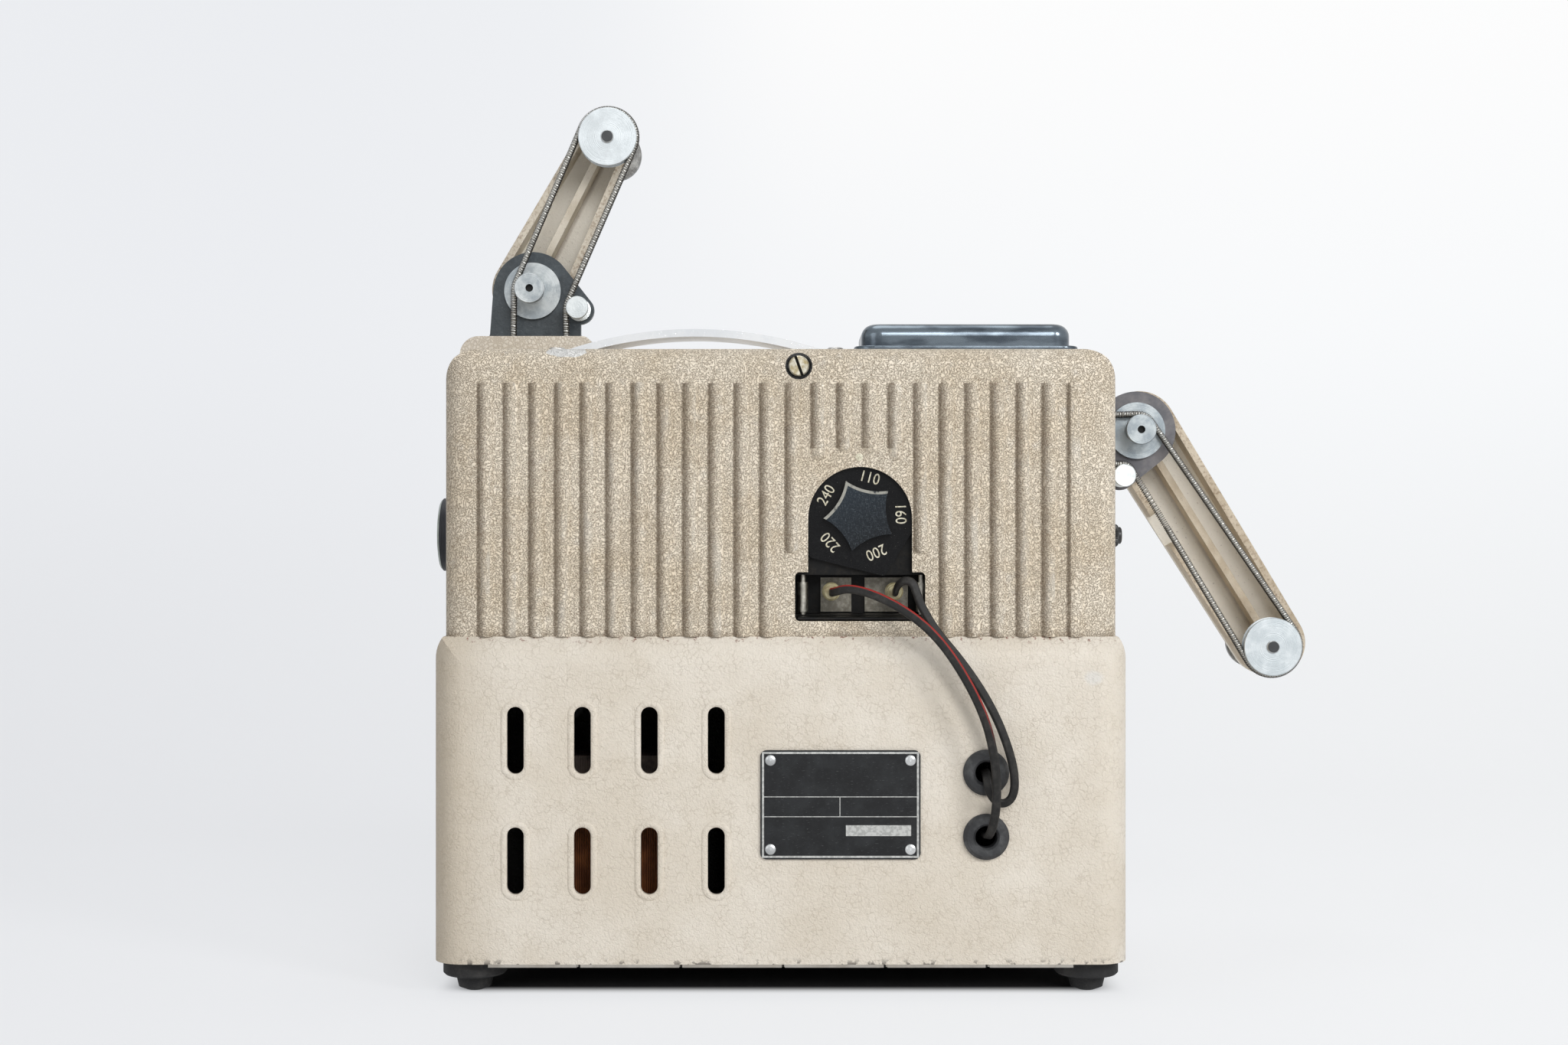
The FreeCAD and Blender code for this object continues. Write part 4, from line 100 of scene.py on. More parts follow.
class Recipe:
    # one material, with the few nodes that most finishes need; colours laid go from 0 to 255
    def __init__(self, name, holder=None):
        self.material = holder or bpy.data.materials.new(name)
        self.material.use_nodes = True
        self.tree = self.material.node_tree
        self.tree.nodes.clear()
        self.at = self.node("TexCoord", out="Object")
        self.colour = None

    def node(self, kind, settings=None, values=None, out=0):
        made = self.tree.nodes.new("ShaderNode" + kind)
        for key, setting in (settings or {}).items():
            setattr(made, key, setting)
        for key, value in (values or {}).items():
            socket = made.inputs[key]
            if isinstance(value, Flow):
                self.tree.links.new(value.socket, socket)
            elif socket.type == "RGBA" and len(value) == 3:
                socket.default_value = (*value, 1)
            else:
                socket.default_value = value
        return Flow(self, made.outputs[out])

    def parts(self):
        # where on the piece, as x, y and z in metres
        split = self.node("SeparateXYZ", {}, {0: self.at}).socket.node
        return [Flow(self, split.outputs[k]) for k in range(3)]

    def noise(self, at, scale, detail=2.0, rough=0.5):
        return self.node("TexNoise", {}, {"Vector": at, "Scale": scale, "Detail": detail, "Roughness": rough})

    def grain(self, *settings):
        return self.noise(self.at, *settings)

    def rings(self, radius, scale):
        return self.node("TexNoise", {"noise_dimensions": "1D"}, {"W": radius, "Scale": scale, "Detail": 3.0})

    def cells(self, at, scale):
        return self.node("TexVoronoi", {"feature": "DISTANCE_TO_EDGE"}, {"Vector": at, "Scale": scale})

    def stretch(self, *sizes):
        return self.node("Mapping", {}, {"Vector": self.at, "Scale": sizes})

    def jolt(self, scale, reach):
        # places moved about a little, so that cells and lines lose their straight edges
        stir = self.node("TexNoise", {}, {"Vector": self.at, "Scale": scale, "Detail": 2.0}, "Color")
        moved = {0: stir, 1: (reach, reach, reach), 2: self.at}
        return self.node("VectorMath", {"operation": "MULTIPLY_ADD"}, moved)

    def mix(self, mask, first, second):
        return self.node("Mix", {"data_type": "RGBA"}, {0: mask, 6: first, 7: second}, 2)

    def base(self, mask, first, second):
        self.colour = self.mix(mask, tone(*first), tone(*second))

    def lay(self, mask, shade):
        # one more colour over the last, where mask is above 0
        self.colour = self.mix(mask, self.colour, tone(*shade))

    def clouded(self, grain, step, first, second):
        # two colours in clouds; gives back the noise that parts them
        noise = self.grain(*grain)
        self.base(noise.above(*step), first, second)
        return noise

    def around(self, across, up, centre):
        # distance from a line through centre, in metres
        across, up = across - centre[0] * mm, up - centre[1] * mm
        return (across * across + up * up) ** 0.5

    def inward(self, centre):
        # 1 on faces turned toward the middle of a hollow piece
        facing = self.node("TexCoord", out="Normal")
        away = self.node("VectorMath", {"operation": "SUBTRACT"}, {0: self.at, 1: [c * mm for c in centre]})
        return self.node("VectorMath", {"operation": "DOT_PRODUCT"}, {0: facing, 1: away}, 1) < 0

    def patch(self, centre, half):
        # distance from a spot in its own half widths: 1 on its edge
        spot = self.node(
            "Mapping", {"vector_type": "TEXTURE"},
            {"Vector": self.at, "Location": [c * mm for c in centre], "Scale": [h * mm for h in half]},
        )
        return self.node("VectorMath", {"operation": "LENGTH"}, {0: spot}, 1)

    def shown(self, shader):
        # the shader joined to the output of the material or world
        kind = "World" if self.material.id_type == "WORLD" else "Material"
        output = self.tree.nodes.new("ShaderNodeOutput" + kind)
        self.tree.links.new(shader.socket, output.inputs["Surface"])
        return self.material

    def done(self, height=None, **sockets):
        # the finished material, in the colour laid so far and with its surface raised by height
        names = {
            "colour": "Base Color", "rough": "Roughness", "metal": "Metallic", "coat": "Coat Weight",
            "coatRough": "Coat Roughness", "ior": "IOR", "clear": "Transmission Weight",
            "specular": "Specular IOR Level",
        }
        sockets.setdefault("colour", self.colour)
        values = {names[key]: value for key, value in sockets.items()}
        if height:
            bumps = {"Strength": 1.0, "Distance": 1.0, "Height": height}
            values["Normal"] = self.node("Bump", {}, bumps)
        return self.shown(self.node("BsdfPrincipled", {}, values))


def tone(red, green, blue):
    # a colour made linear
    return tuple(((c / 255 + 0.055) / 1.055) ** 2.4 if c > 10 else c / 3294.6 for c in (red, green, blue))


def calm():
    # nothing stays selected or in edit mode between pieces
    if bpy.context.object and bpy.context.object.mode != "OBJECT":
        bpy.ops.object.mode_set(mode="OBJECT")
    bpy.ops.object.select_all(action="DESELECT")


def leaveEdit():
    bpy.ops.object.mode_set(mode="OBJECT")


def closeUp():
    # all faces turned outward, and edit mode left
    bpy.ops.mesh.select_all(action="SELECT")
    bpy.ops.mesh.normals_make_consistent(inside=False)
    leaveEdit()


def linked(name, data):
    piece = bpy.data.objects.new(name, data)
    bpy.context.scene.collection.objects.link(piece)
    return piece


def hold(*pieces):
    calm()
    for piece in pieces:
        piece.select_set(True)
    bpy.context.view_layer.objects.active = pieces[0]


def freeze(piece):
    # modifiers applied and the place put into the mesh
    hold(piece)
    for modifier in list(piece.modifiers):
        bpy.ops.object.modifier_apply(modifier=modifier.name)
    bpy.ops.object.transform_apply(location=True, rotation=True, scale=True)
    return piece


def gather(name, pieces):
    for piece in pieces:
        freeze(piece)
    hold(*pieces)
    if len(pieces) > 1:
        bpy.ops.object.join()
    pieces[0].name = name
    return pieces[0]


def finishPiece(piece, name, body, material, smooth):
    piece.name = name
    piece.data.name = name
    freeze(piece)
    bpy.ops.object.shade_smooth_by_angle(angle=math.radians(smooth))
    piece.data.materials.clear()
    piece.data.materials.append(material)
    if body:
        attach(piece, body)
    return piece


def dress(material, *names):
    # a finish put on one or more nodes of the frame
    for name in names:
        mesh = nodes[name].data
        mesh.materials.clear()
        mesh.materials.append(material)


def select(piece, wanted):
    # edit mode, with only the corners selected that wanted() takes
    hold(piece)
    bpy.ops.object.mode_set(mode="EDIT")
    bpy.ops.mesh.select_mode(type="VERT")
    bpy.ops.mesh.select_all(action="DESELECT")
    leaveEdit()
    for corner in piece.data.vertices:
        corner.select = wanted(corner)
    bpy.ops.object.mode_set(mode="EDIT")


def raiseRound(name, steps, sides):
    # a round piece raised along Z through its (height, radius) steps, closed at both ends
    calm()
    height, radius = steps[0]
    bpy.ops.mesh.primitive_circle_add(
        vertices=sides, radius=radius * mm, fill_type="NGON", location=(0, 0, height * mm)
    )
    piece = bpy.context.object
    bpy.ops.object.transform_apply(location=True)
    bpy.ops.object.mode_set(mode="EDIT")
    bpy.ops.mesh.select_all(action="SELECT")
    for nextHeight, nextRadius in steps[1:]:
        bpy.ops.mesh.extrude_region_move(
            TRANSFORM_OT_translate={"value": (0, 0, (nextHeight - height) * mm)}
        )
        grow = nextRadius / radius
        bpy.ops.transform.resize(value=(grow, grow, 1), center_override=(0, 0, nextHeight * mm))
        height, radius = nextHeight, nextRadius
    closeUp()
    piece.name = name
    return piece


def setDown(piece, place, turn=(0, 0, 0)):
    piece.location = [p * mm for p in place]
    piece.rotation_euler = [math.radians(t) for t in turn]
    return freeze(piece)


# floor and backdrop in one sweep
stageSizes = {"floor": -10.4, "width": 7.0, "near": -3.0, "far": 1.3, "rise": 3.2, "bend": 0.7, "steps": 24}
calm()
bpy.ops.mesh.primitive_plane_add(size=1, location=(0, 0, 0))
sweep = bpy.context.object
sweep.scale = (stageSizes["width"], stageSizes["far"] - stageSizes["near"], 1)
sweep.location = (0, (stageSizes["far"] + stageSizes["near"]) / 2, stageSizes["floor"] * mm)
freeze(sweep)
select(sweep, lambda corner: corner.co.y > 0)
bpy.ops.mesh.extrude_region_move(TRANSFORM_OT_translate={"value": (0, 0, stageSizes["rise"])})
leaveEdit()
low = stageSizes["floor"] * mm + 0.001
select(sweep, lambda corner: corner.co.y > 0 and corner.co.z < low)
bpy.ops.mesh.bevel(offset=stageSizes["bend"], segments=stageSizes["steps"], affect="EDGES")
leaveEdit()
freeze(sweep)
bpy.ops.object.shade_smooth()
sweep.name = "studioSweep"

studio = {"room": 0.25, "seen": 1.0, "mirrored": 0.75}
# where a shadow is painted on the floor under the case
underCase = {"front": -0.061, "back": 0.042, "soft": 0.016, "sides": (0.116, 0.138)}


def seenDirectly(look):
    # 1 for what the camera sees straight or through glass, and a share of it in mirrors
    path = look.node("LightPath").socket.node
    camera, glossy, through = (
        Flow(look, path.outputs[name]) for name in ("Is Camera Ray", "Is Glossy Ray", "Is Transmission Ray")
    )
    return camera.most(glossy * studio["mirrored"]).most(through)


def paperLook():
    # white paper that glows where the camera sees it, with a painted shadow on it under the case
    look = Recipe("studio paper")
    x, y, z = look.parts()
    grain = look.grain(3.0, 2.0).above(0.3, 0.7)
    colour = look.mix(grain, (0.86, 0.855, 0.86), (0.88, 0.88, 0.885))
    # painted shadow: the paper dark under the case
    under = (y - underCase["front"]).above(0.0, underCase["soft"])
    under = under * (1 - (y - underCase["back"]).above(0.0, underCase["soft"]))
    under = under * (1 - abs(x).above(*underCase["sides"])) * (z < 0.0)
    colour = look.mix(under, colour, (0.045, 0.045, 0.048))
    matt = look.node("BsdfDiffuse", {}, {"Color": colour})
    # painted light: the glow dimmer on the left, brighter on the right and high up
    side = x.above(-0.6, 0.6)
    glow = look.mix(side, (0.85, 0.865, 0.895), (0.95, 0.965, 0.98))
    glow = look.mix(z.above(0.2, 0.8) * side.above(0.2, 0.6), glow, (1.0, 1.0, 1.0))
    lit = look.node("Emission", {}, {"Color": glow, "Strength": 1.0})
    share = (z.above(-0.01, 0.4) * 0.2 + 0.75) * seenDirectly(look) * (1 - under)
    return look.shown(look.node("MixShader", {}, {0: share, 1: matt, 2: lit}))


sweep.data.materials.append(paperLook())

# soft studio light: an even room, one lamp from the right, one from the front and weak ones left and above
world = bpy.data.worlds.new("studioRoom")
bpy.context.scene.world = world
room = Recipe("studioRoom", world)
strength = seenDirectly(room) * (studio["seen"] - studio["room"]) + studio["room"]
room.shown(room.node("Background", {}, {"Color": (0.97, 0.985, 1.0), "Strength": strength}))

lamps = {
    "keyLamp": {"at": (1.35, -1.25, 0.95), "aim": (0.0, 0.0, 0.14), "size": 0.55, "power": 13.5},
    "fillLamp": {"at": (0.5, -1.85, 1.1), "aim": (0.0, 0.0, 0.2), "size": 0.9, "power": 14.5},
    "leftLamp": {"at": (-1.3, -1.2, 0.7), "aim": (0.0, 0.0, 0.15), "size": 1.0, "power": 3.0},
    "topLamp": {"at": (-0.1, 0.2, 1.5), "aim": (0.0, 0.0, 0.2), "size": 0.9, "power": 4.0},
}
for name, lamp in lamps.items():
    calm()
    bpy.ops.object.light_add(type="AREA", location=lamp["at"])
    made = bpy.context.object
    made.name = name
    made.data.shape = "DISK"
    made.data.size = lamp["size"]
    made.data.energy = lamp["power"]
    toward = Vector(lamp["aim"]) - Vector(lamp["at"])
    made.rotation_euler = toward.to_track_quat("-Z", "Y").to_euler()
print("stage and light ready")


# the two leads, from the selector's plugs into the grommets, in metres
leads = {
    "redLead": {
        "node": "red_lead", "length": 0.1457, "route": [
            (0.0199, -0.0620, 0.1469), (0.0199, -0.0672, 0.1469), (0.0264, -0.0724, 0.1490),
            (0.0374, -0.0750, 0.1460), (0.0510, -0.0764, 0.1384), (0.0620, -0.0774, 0.1280),
            (0.0715, -0.0780, 0.1135), (0.0782, -0.0780, 0.0995), (0.0816, -0.0776, 0.0865),
            (0.0829, -0.0774, 0.0745), (0.0827, -0.0770, 0.0645), (0.0816, -0.0756, 0.0574),
            (0.0804, -0.0718, 0.0532), (0.0798, -0.0674, 0.0523), (0.0797, -0.0628, 0.0522),
        ],
    },
    "blackLead": {
        "node": "black_lead", "length": 0.1349, "route": [
            (0.0446, -0.0620, 0.1469), (0.0446, -0.0662, 0.1469), (0.0450, -0.0692, 0.1493),
            (0.0472, -0.0720, 0.1519), (0.0509, -0.0732, 0.1512), (0.0523, -0.0735, 0.1470),
            (0.0544, -0.0737, 0.1412), (0.0598, -0.0738, 0.1322), (0.0682, -0.0738, 0.1224),
            (0.0762, -0.0736, 0.1114), (0.0828, -0.0732, 0.0998), (0.0873, -0.0728, 0.0886),
            (0.0898, -0.0722, 0.0796), (0.0903, -0.0719, 0.0738), (0.0900, -0.0718, 0.0700),
            (0.0886, -0.0717, 0.0669), (0.0855, -0.0716, 0.0653), (0.0822, -0.0718, 0.0672),
            (0.0802, -0.0724, 0.0710), (0.0797, -0.0714, 0.0750), (0.0797, -0.0676, 0.0770),
            (0.0797, -0.0628, 0.0771),
        ],
    },
}
leadSection = {"radius": 1.1, "apart": 0.62, "sides": 10, "waist": 0.14, "pinch": 0.22}
splineSteps = 14


def splinePoints(name, route):
    # points read back from a smooth spline through the route's control points
    curve = bpy.data.curves.new(name, "CURVE")
    curve.dimensions = "3D"
    curve.resolution_u = splineSteps
    spline = curve.splines.new("NURBS")
    spline.points.add(len(route) - 1)
    for point, place in zip(spline.points, route):
        point.co = (*place, 1)
    spline.order_u = 3
    spline.use_endpoint_u = True
    line = linked(name, curve)
    bpy.context.view_layer.update()
    mesh = bpy.data.meshes.new_from_object(line)
    points = [corner.co.copy() for corner in mesh.vertices]
    bpy.data.objects.remove(line)
    return points


def twinSection(size):
    # two round cores side by side under one skin, as (across, thick) places round the lead
    ring = []
    sides = size["sides"]
    for k in range(2 * sides):
        turn = 2 * math.pi * (k + 0.5) / (2 * sides)
        side = 1 if math.cos(turn) > 0 else -1
        waist = 1 - size["waist"] * math.exp(-(math.cos(turn) / size["pinch"]) ** 2)
        wide = side * size["apart"] + size["radius"] * math.cos(turn)
        ring.append((wide, size["radius"] * math.sin(turn) * waist))
    return ring


def sweepLead(name, points, section, wideway):
    # the section carried along the points without twisting
    corners, faces, sides = [], [], []
    wide = Vector(wideway)
    count = len(section)
    reach = max(abs(w) for w, t in section)
    for k, place in enumerate(points):
        along = (points[min(k + 1, len(points) - 1)] - points[max(k - 1, 0)]).normalized()
        wide = (wide - along * wide.dot(along)).normalized()
        thick = along.cross(wide)
        for w, t in section:
            corners.append(place + (wide * w + thick * t) * mm)
            sides.append(w / reach)
    for k in range(len(points) - 1):
        for j in range(count):
            near, far = k * count, (k + 1) * count
            faces.append((near + j, near + (j + 1) % count, far + (j + 1) % count, far + j))
    last = (len(points) - 1) * count
    faces.append(tuple(reversed(range(count))))
    faces.append(tuple(range(last, last + count)))
    mesh = bpy.data.meshes.new(name)
    mesh.from_pydata(corners, [], faces)
    across = mesh.attributes.new("across", "FLOAT", "POINT")
    across.data.foreach_set("value", sides)
    piece = linked(name, mesh)
    hold(piece)
    bpy.ops.object.mode_set(mode="EDIT")
    closeUp()
    return piece


def leadLook(name, stripe):
    # black rubber; the striped lead is red on its outer core, where it isn't rubbed off
    look = Recipe(name)
    across = look.node("Attribute", {"attribute_name": "across"}, {}, "Fac")
    dust = look.clouded((260, 4.0, 0.65), (0.42, 0.75), (24, 23, 22), (52, 50, 47))
    fine = look.grain(2600, 2.0)

    if stripe:
        high = look.parts()[2].above(0.088, 0.108)
        worn = (across - dust * 0.3).above(0.4, 0.56) * high
        look.lay(worn, (150, 38, 32))
    height = fine * 0.00006 + dust * 0.0001
    return look.done(height, rough=0.4 + dust * 0.22, specular=0.3)


for name, lead in leads.items():
    points = splinePoints(name, lead["route"])
    tube = sweepLead(name, points, twinSection(leadSection), (0, 0, 1))
    look = leadLook(name + " rubber", name == "redLead")
    finishPiece(tube, name, "case", look, 60)
    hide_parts(lead["node"])
print("leads laid")

# spring belts: wire wound closely round a line that follows the wheels
wheelRadii = {"drive": 12.2, "pivot": 7.0, "reel": 12.2, "idler": 5.2}
springBelts = {
    "upperBelt": {"side": "upper", "y": 21.5, "up": 25.0, "open": None},
    "lowerBelt": {
        "side": "lower", "y": 26.0, "up": 25.0,
        "open": {"leg": 2, "turns": 28, "pitch": 0.9, "ease": 1.75, "tail": 0.9, "back": 0.3},
    },
}
wire = {"pitch": 0.62, "radius": 0.29, "helix": 1.21, "perTurn": 8, "openHelix": 1.275, "openWire": 0.225}


def beltLine(belt):
    # straight legs between the wheels and arcs round them, in order; the idler presses from outside
    arm = arms[belt["side"]]
    wheels = [(*middles["upperSprocket"], wheelRadii["drive"], 1), (*arm["pivot"], wheelRadii["pivot"], 1),
              (*arm["reel"], wheelRadii["reel"], 1), (*arm["idler"], wheelRadii["idler"], -1)]
    count = len(wheels)
    legs = []
    for k in range(count):
        x1, z1, r1, way1 = wheels[k]
        x2, z2, r2, way2 = wheels[(k + 1) % count]
        span = math.hypot(x2 - x1, z2 - z1)
        turn = math.atan2(z2 - z1, x2 - x1) + math.acos((r1 * way1 - r2 * way2) / span)
        start = (x1 + r1 * way1 * math.cos(turn), z1 + r1 * way1 * math.sin(turn))
        end = (x2 + r2 * way2 * math.cos(turn), z2 + r2 * way2 * math.sin(turn))
        legs.append((start, end))
    parts = []
    for k in range(count):
        start, end = legs[k]
        length = math.dist(start, end)
        heading = ((end[0] - start[0]) / length, (end[1] - start[1]) / length)
        parts.append({"length": length, "start": start, "heading": heading, "leg": k})
        x, z, radius, way = wheels[(k + 1) % count]
        first = math.atan2(end[1] - z, end[0] - x)
        after = legs[(k + 1) % count][0]
        last = math.atan2(after[1] - z, after[0] - x)
        sweepAngle = ((first - last) * way) % (2 * math.pi)
        parts.append({
            "length": sweepAngle * radius, "centre": (x, z), "radius": radius, "first": first, "way": way,
        })
    return parts


def placeOn(part, run):
    # where the belt's middle is, a run along one of its parts, and which way it heads there
    if "start" in part:
        x = part["start"][0] + part["heading"][0] * run
        z = part["start"][1] + part["heading"][1] * run
        return x, z, part["heading"]
    angle = part["first"] - part["way"] * run / part["radius"]
    x = part["centre"][0] + part["radius"] * math.cos(angle)
    z = part["centre"][1] + part["radius"] * math.sin(angle)
    return x, z, (math.sin(angle) * part["way"], -math.cos(angle) * part["way"])


def openShare(belt, part, run):
    # how far the coils stand open here, from 0 to 1
    stretch = belt["open"]
    if not stretch or part.get("leg") != stretch["leg"]:
        return 0.0
    back = part["length"] - run - stretch["back"]
    opened = stretch["tail"] + stretch["ease"]
    closes = opened + stretch["turns"] * stretch["pitch"]
    share = min(max((back - stretch["tail"]) / stretch["ease"], 0), 1)
    return share * min(max((closes + stretch["ease"] - back) / stretch["ease"], 0), 1)


def windBelt(name, belt):
    # a helix laid along the belt's line, given the wire's thickness and made a mesh
    turn, run, coils, widths = 0.0, 0.0, [], []
    for part in beltLine(belt):
        while run < part["length"]:
            share = openShare(belt, part, run)
            x, z, heading = placeOn(part, run)
            helix = wire["helix"] + (wire["openHelix"] - wire["helix"]) * share
            out = helix * math.cos(turn)
            coils.append((x - heading[1] * out, belt["y"] + helix * math.sin(turn), z + heading[0] * out))
            widths.append((wire["radius"] + (wire["openWire"] - wire["radius"]) * share) / wire["radius"])
            turn += 2 * math.pi / wire["perTurn"]
            pitch = wire["pitch"]
            if share > 0:
                pitch += (belt["open"]["pitch"] - wire["pitch"]) * share
            run += pitch / wire["perTurn"]
        run -= part["length"]
    curve = bpy.data.curves.new(name, "CURVE")
    curve.dimensions = "3D"
    spline = curve.splines.new("POLY")
    spline.points.add(len(coils) - 1)
    for point, place, width in zip(spline.points, coils, widths):
        point.co = (*(p * mm for p in place), 1)
        point.radius = width
    spline.use_cyclic_u = True
    curve.bevel_depth = wire["radius"] * mm
    curve.bevel_resolution = 0
    curve.use_fill_caps = False
    line = linked(name, curve)
    hold(line)
    bpy.ops.object.convert(target="MESH")
    return bpy.context.object


def springLook(name, line):
    # painted highlight along the middle of the run, painted shade to both sides and deep between the coils
    look = Recipe(name)
    brownShare = look.grain(90, 4.0, 0.6)
    spots = look.grain(900, 3.0)
    depth = abs(look.parts()[1] - line * mm) / (wire["helix"] * mm)
    # painted light: the wire bright where it stands farthest out along y from the belt's line, dark near that
    # line
    look.base(depth.above(0.62, 1.02), (52, 49, 45), (196, 195, 190))
    # dirt in brown patches, and rust spots
    look.lay(brownShare.above(0.45, 0.75) * 0.5, (96, 88, 78))
    look.lay(spots.above(0.6, 0.74) * 0.5, (70, 54, 42))
    return look.done(rough=0.3 + brownShare * 0.25, metal=0.85)


for name, belt in springBelts.items():
    wound = windBelt(name, belt)
    finishPiece(wound, name, None, springLook(name + " wire", belt["y"]), 60)
    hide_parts(belt["side"] + "_belt")
    pivot, reel = arms[belt["side"]]["pivot"], arms[belt["side"]]["reel"]
    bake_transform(wound)
print("belts wound")

ribsPerMetre = 100


def coverLook():
    # hard wrinkle paint: fine puckers with darker lines between them, rubbed lighter on the rib tops
    look = Recipe("wrinkle paint")
    x, y, z = look.parts()
    pucker = abs(look.noise(look.jolt(700, 0.0012), 950, 1.5) - 0.5)
    line = 1 - pucker.above(0.005, 0.055)
    fine = look.grain(2400, 2.0)
    look.clouded((34, 3.0, 0.6), (0.36, 0.66), (244, 232, 212), (233, 218, 194))
    cloud = look.grain(140, 3.0, 0.6)
    look.lay(cloud.above(0.55, 0.8) * 0.5, (246, 240, 229))
    # painted shade toward the left edge
    edge = 1 - (x + 0.1316).above(0.0, 0.02)
    look.lay(edge * 0.3, (150, 130, 102))
    look.lay(line * 0.72, (118, 98, 74))
    # rubbed rib tops
    ribTop = (y < -0.0636) * (z < 0.231)
    rubbed = ribTop * look.noise(look.stretch(1, 1, 0.25), 210, 3.0).above(0.5, 0.72)
    look.lay(rubbed * 0.55, (236, 229, 216))
    # shade along one side of each rib, left out where the ribs end over and beside the dial
    pitch = (x * ribsPerMetre).fraction()
    aside = abs(x - middles["selector"][0] * mm)
    ribbed = (z < 0.2285) * (y < -0.06) * (abs(x + 0.005) < 0.118)
    ribbed = ribbed * (1 - ((aside < 0.0205) * (z < 0.203)).most((aside < 0.0305) * (z < 0.162)))
    shaded = (1 - pitch.above(0.2, 0.62)) * pitch.above(0.1, 0.17) * ribbed
    look.lay(shaded * (0.42 + cloud * 0.5), (112, 94, 72))
    # a worn white patch at the top, and soil along the lower edge
    ragged = look.grain(150, 2.0) - 0.5
    worn = 1 - (look.patch((-83.5, -50, 240.3), (8, 30, 2.6)) + ragged * 1.4).above(0.88, 0.98)
    look.lay(worn * 0.95, (238, 238, 236))
    soil = (1 - (z - 0.1296).above(0.0, 0.0035)) * cloud.above(0.35, 0.6)
    look.lay(soil * 0.5, (120, 100, 78))
    # painted shade inside the shell, in the pocket below the dial and in the screw's recess
    pocket = (aside < 0.0275) * (z > 0.133) * (z < 0.157)
    inside = (y > -0.0606) * (abs(x) < 0.1299) * (z < 0.2406) * look.inward((0, 7.5, 186)).most(pocket)
    look.lay(inside, (60, 57, 52))
    recess = (look.around(x, z, middles["coverScrew"]) < 0.0053) * (y < -0.05)
    look.lay(recess, (22, 21, 20))
    height = pucker.least(0.12) * 0.0032 + fine * 0.00012
    return look.done(height, rough=0.47 + line * 0.25 + cloud * 0.1, coat=0.08)


def housingLook():
    # the plainer lower shell: flatter paint with faint crackle and a soiled top seam
    look = Recipe("crackle paint")
    x, y, z = look.parts()
    crackle = look.cells(look.jolt(320, 0.004), 380)
    crack = 1 - crackle.above(0.01, 0.1)
    grain = look.grain(1300, 3.0, 0.6)
    look.clouded((22, 3.0, 0.6), (0.34, 0.68), (233, 225, 212), (222, 212, 196))
    cloud = look.grain(120, 4.0, 0.65)
    # painted shade toward the left edge
    edge = 1 - (x + 0.1356).above(0.0, 0.034)
    look.lay(edge * 0.55, (166, 148, 118))
    look.lay(grain.above(0.45, 0.8) * 0.3, (222, 213, 199))
    look.lay(crack * cloud.above(0.4, 0.62) * 0.26, (158, 142, 118))
    # rust specks along the top, chips along the foot, and a pale spot at the right
    seam = (z - 0.1258).above(0.0, 0.0034)
    specks = look.grain(520, 4.0, 0.7).above(0.57, 0.65)
    look.lay(seam * specks * 0.85, (122, 66, 46))
    foot = 1 - (z - 0.0016).above(0.0, 0.004)
    chips = look.grain(260, 3.0).above(0.56, 0.62) * foot
    look.lay(chips, (82, 76, 70))
    spot = 1 - (look.patch((121.6, -66, 113.7), (3.4, 5, 2.6)) + (cloud - 0.5) * 1.6).above(0.6, 1.4)
    look.lay(spot * 0.5, (226, 226, 224))
    # painted shade on the faces inside the shell, seen through the vents
    inside = (y > -0.0646) * (abs(x) < 0.1339) * (z < 0.1272) * look.inward((0, 7.5, 64))
    look.lay(inside, (26, 25, 24))
    height = grain * 0.0005 + crackle.least(0.12) * 0.0006
    return look.done(height, rough=0.5 + cloud * 0.16, coat=0.05)


def castingLook():
    # the main casting: the cover's paint, less wrinkled
    look = Recipe("painted casting")
    x, y, z = look.parts()
    pucker = look.cells(look.jolt(700, 0.0013), 620)
    line = 1 - pucker.above(0.03, 0.26)
    look.clouded((30, 3.0), (0.36, 0.66), (222, 213, 199), (207, 197, 180))
    specks = look.grain(640, 4.0, 0.7).above(0.6, 0.68)
    look.lay(line * 0.4, (158, 143, 122))
    look.lay(specks * 0.5, (120, 86, 64))
    # painted shade on the faces inside the casting
    inside = (y < 0.0594) * (abs(x) < 0.1331) * (z < 0.2404) * look.inward((0, 7.5, 120))
    look.lay(inside, (92, 90, 86))
    height = pucker.least(0.3) * 0.0005
    return look.done(height, rough=0.5 + line * 0.2, coat=0.06)


def blackEnamel(name, shade, light, rough):
    # stoved enamel or dark moulding, dusty and a little scuffed
    look = Recipe(name)
    dust = look.clouded((120, 4.0, 0.65), (0.4, 0.75), shade, light)
    scuff = look.noise(look.stretch(1, 1, 5), 700, 3.0).above(0.62, 0.75)
    look.lay(scuff * 0.35, (128, 130, 132))
    ripple = look.grain(420, 2.0)
    return look.done(rough=rough + dust * 0.22, coat=0.25, coatRough=0.18, height=ripple * 0.00025)


def lidLook():
    # dark plated lid, shiny, clouded by handling
    look = Recipe("lid plating")
    cloud = look.noise(look.stretch(1, 1, 3), 60, 3.0, 0.6)
    look.base(cloud.above(0.35, 0.7), (112, 122, 130), (70, 78, 86))
    return look.done(rough=0.16 + cloud * 0.1, metal=0.85, specular=0.5)


lathe = {"rings": 2600, "depth": 0.00005}


def bareMetal(name, shade, light, rough, centre=None, plane="xz", mottle=60, metal=1.0):
    # bare or plated metal: lathe rings where it was turned, and a cloudy, dusty surface
    look = Recipe(name)
    places = dict(zip("xyz", look.parts()))
    cloud = look.clouded((mottle, 4.0, 0.65), (0.36, 0.68), shade, light)
    fine = look.grain(1500, 3.0, 0.6)
    roughness = rough + cloud * 0.22 + fine * 0.06
    height = fine * 0.00004
    if centre:
        radius = look.around(places[plane[0]], places[plane[1]], centre)
        turned = look.rings(radius, lathe["rings"])
        height = height + turned * lathe["depth"]
        look.lay(turned.above(0.5, 0.8) * 0.3, light)
    return look.done(height, rough=roughness, metal=metal)


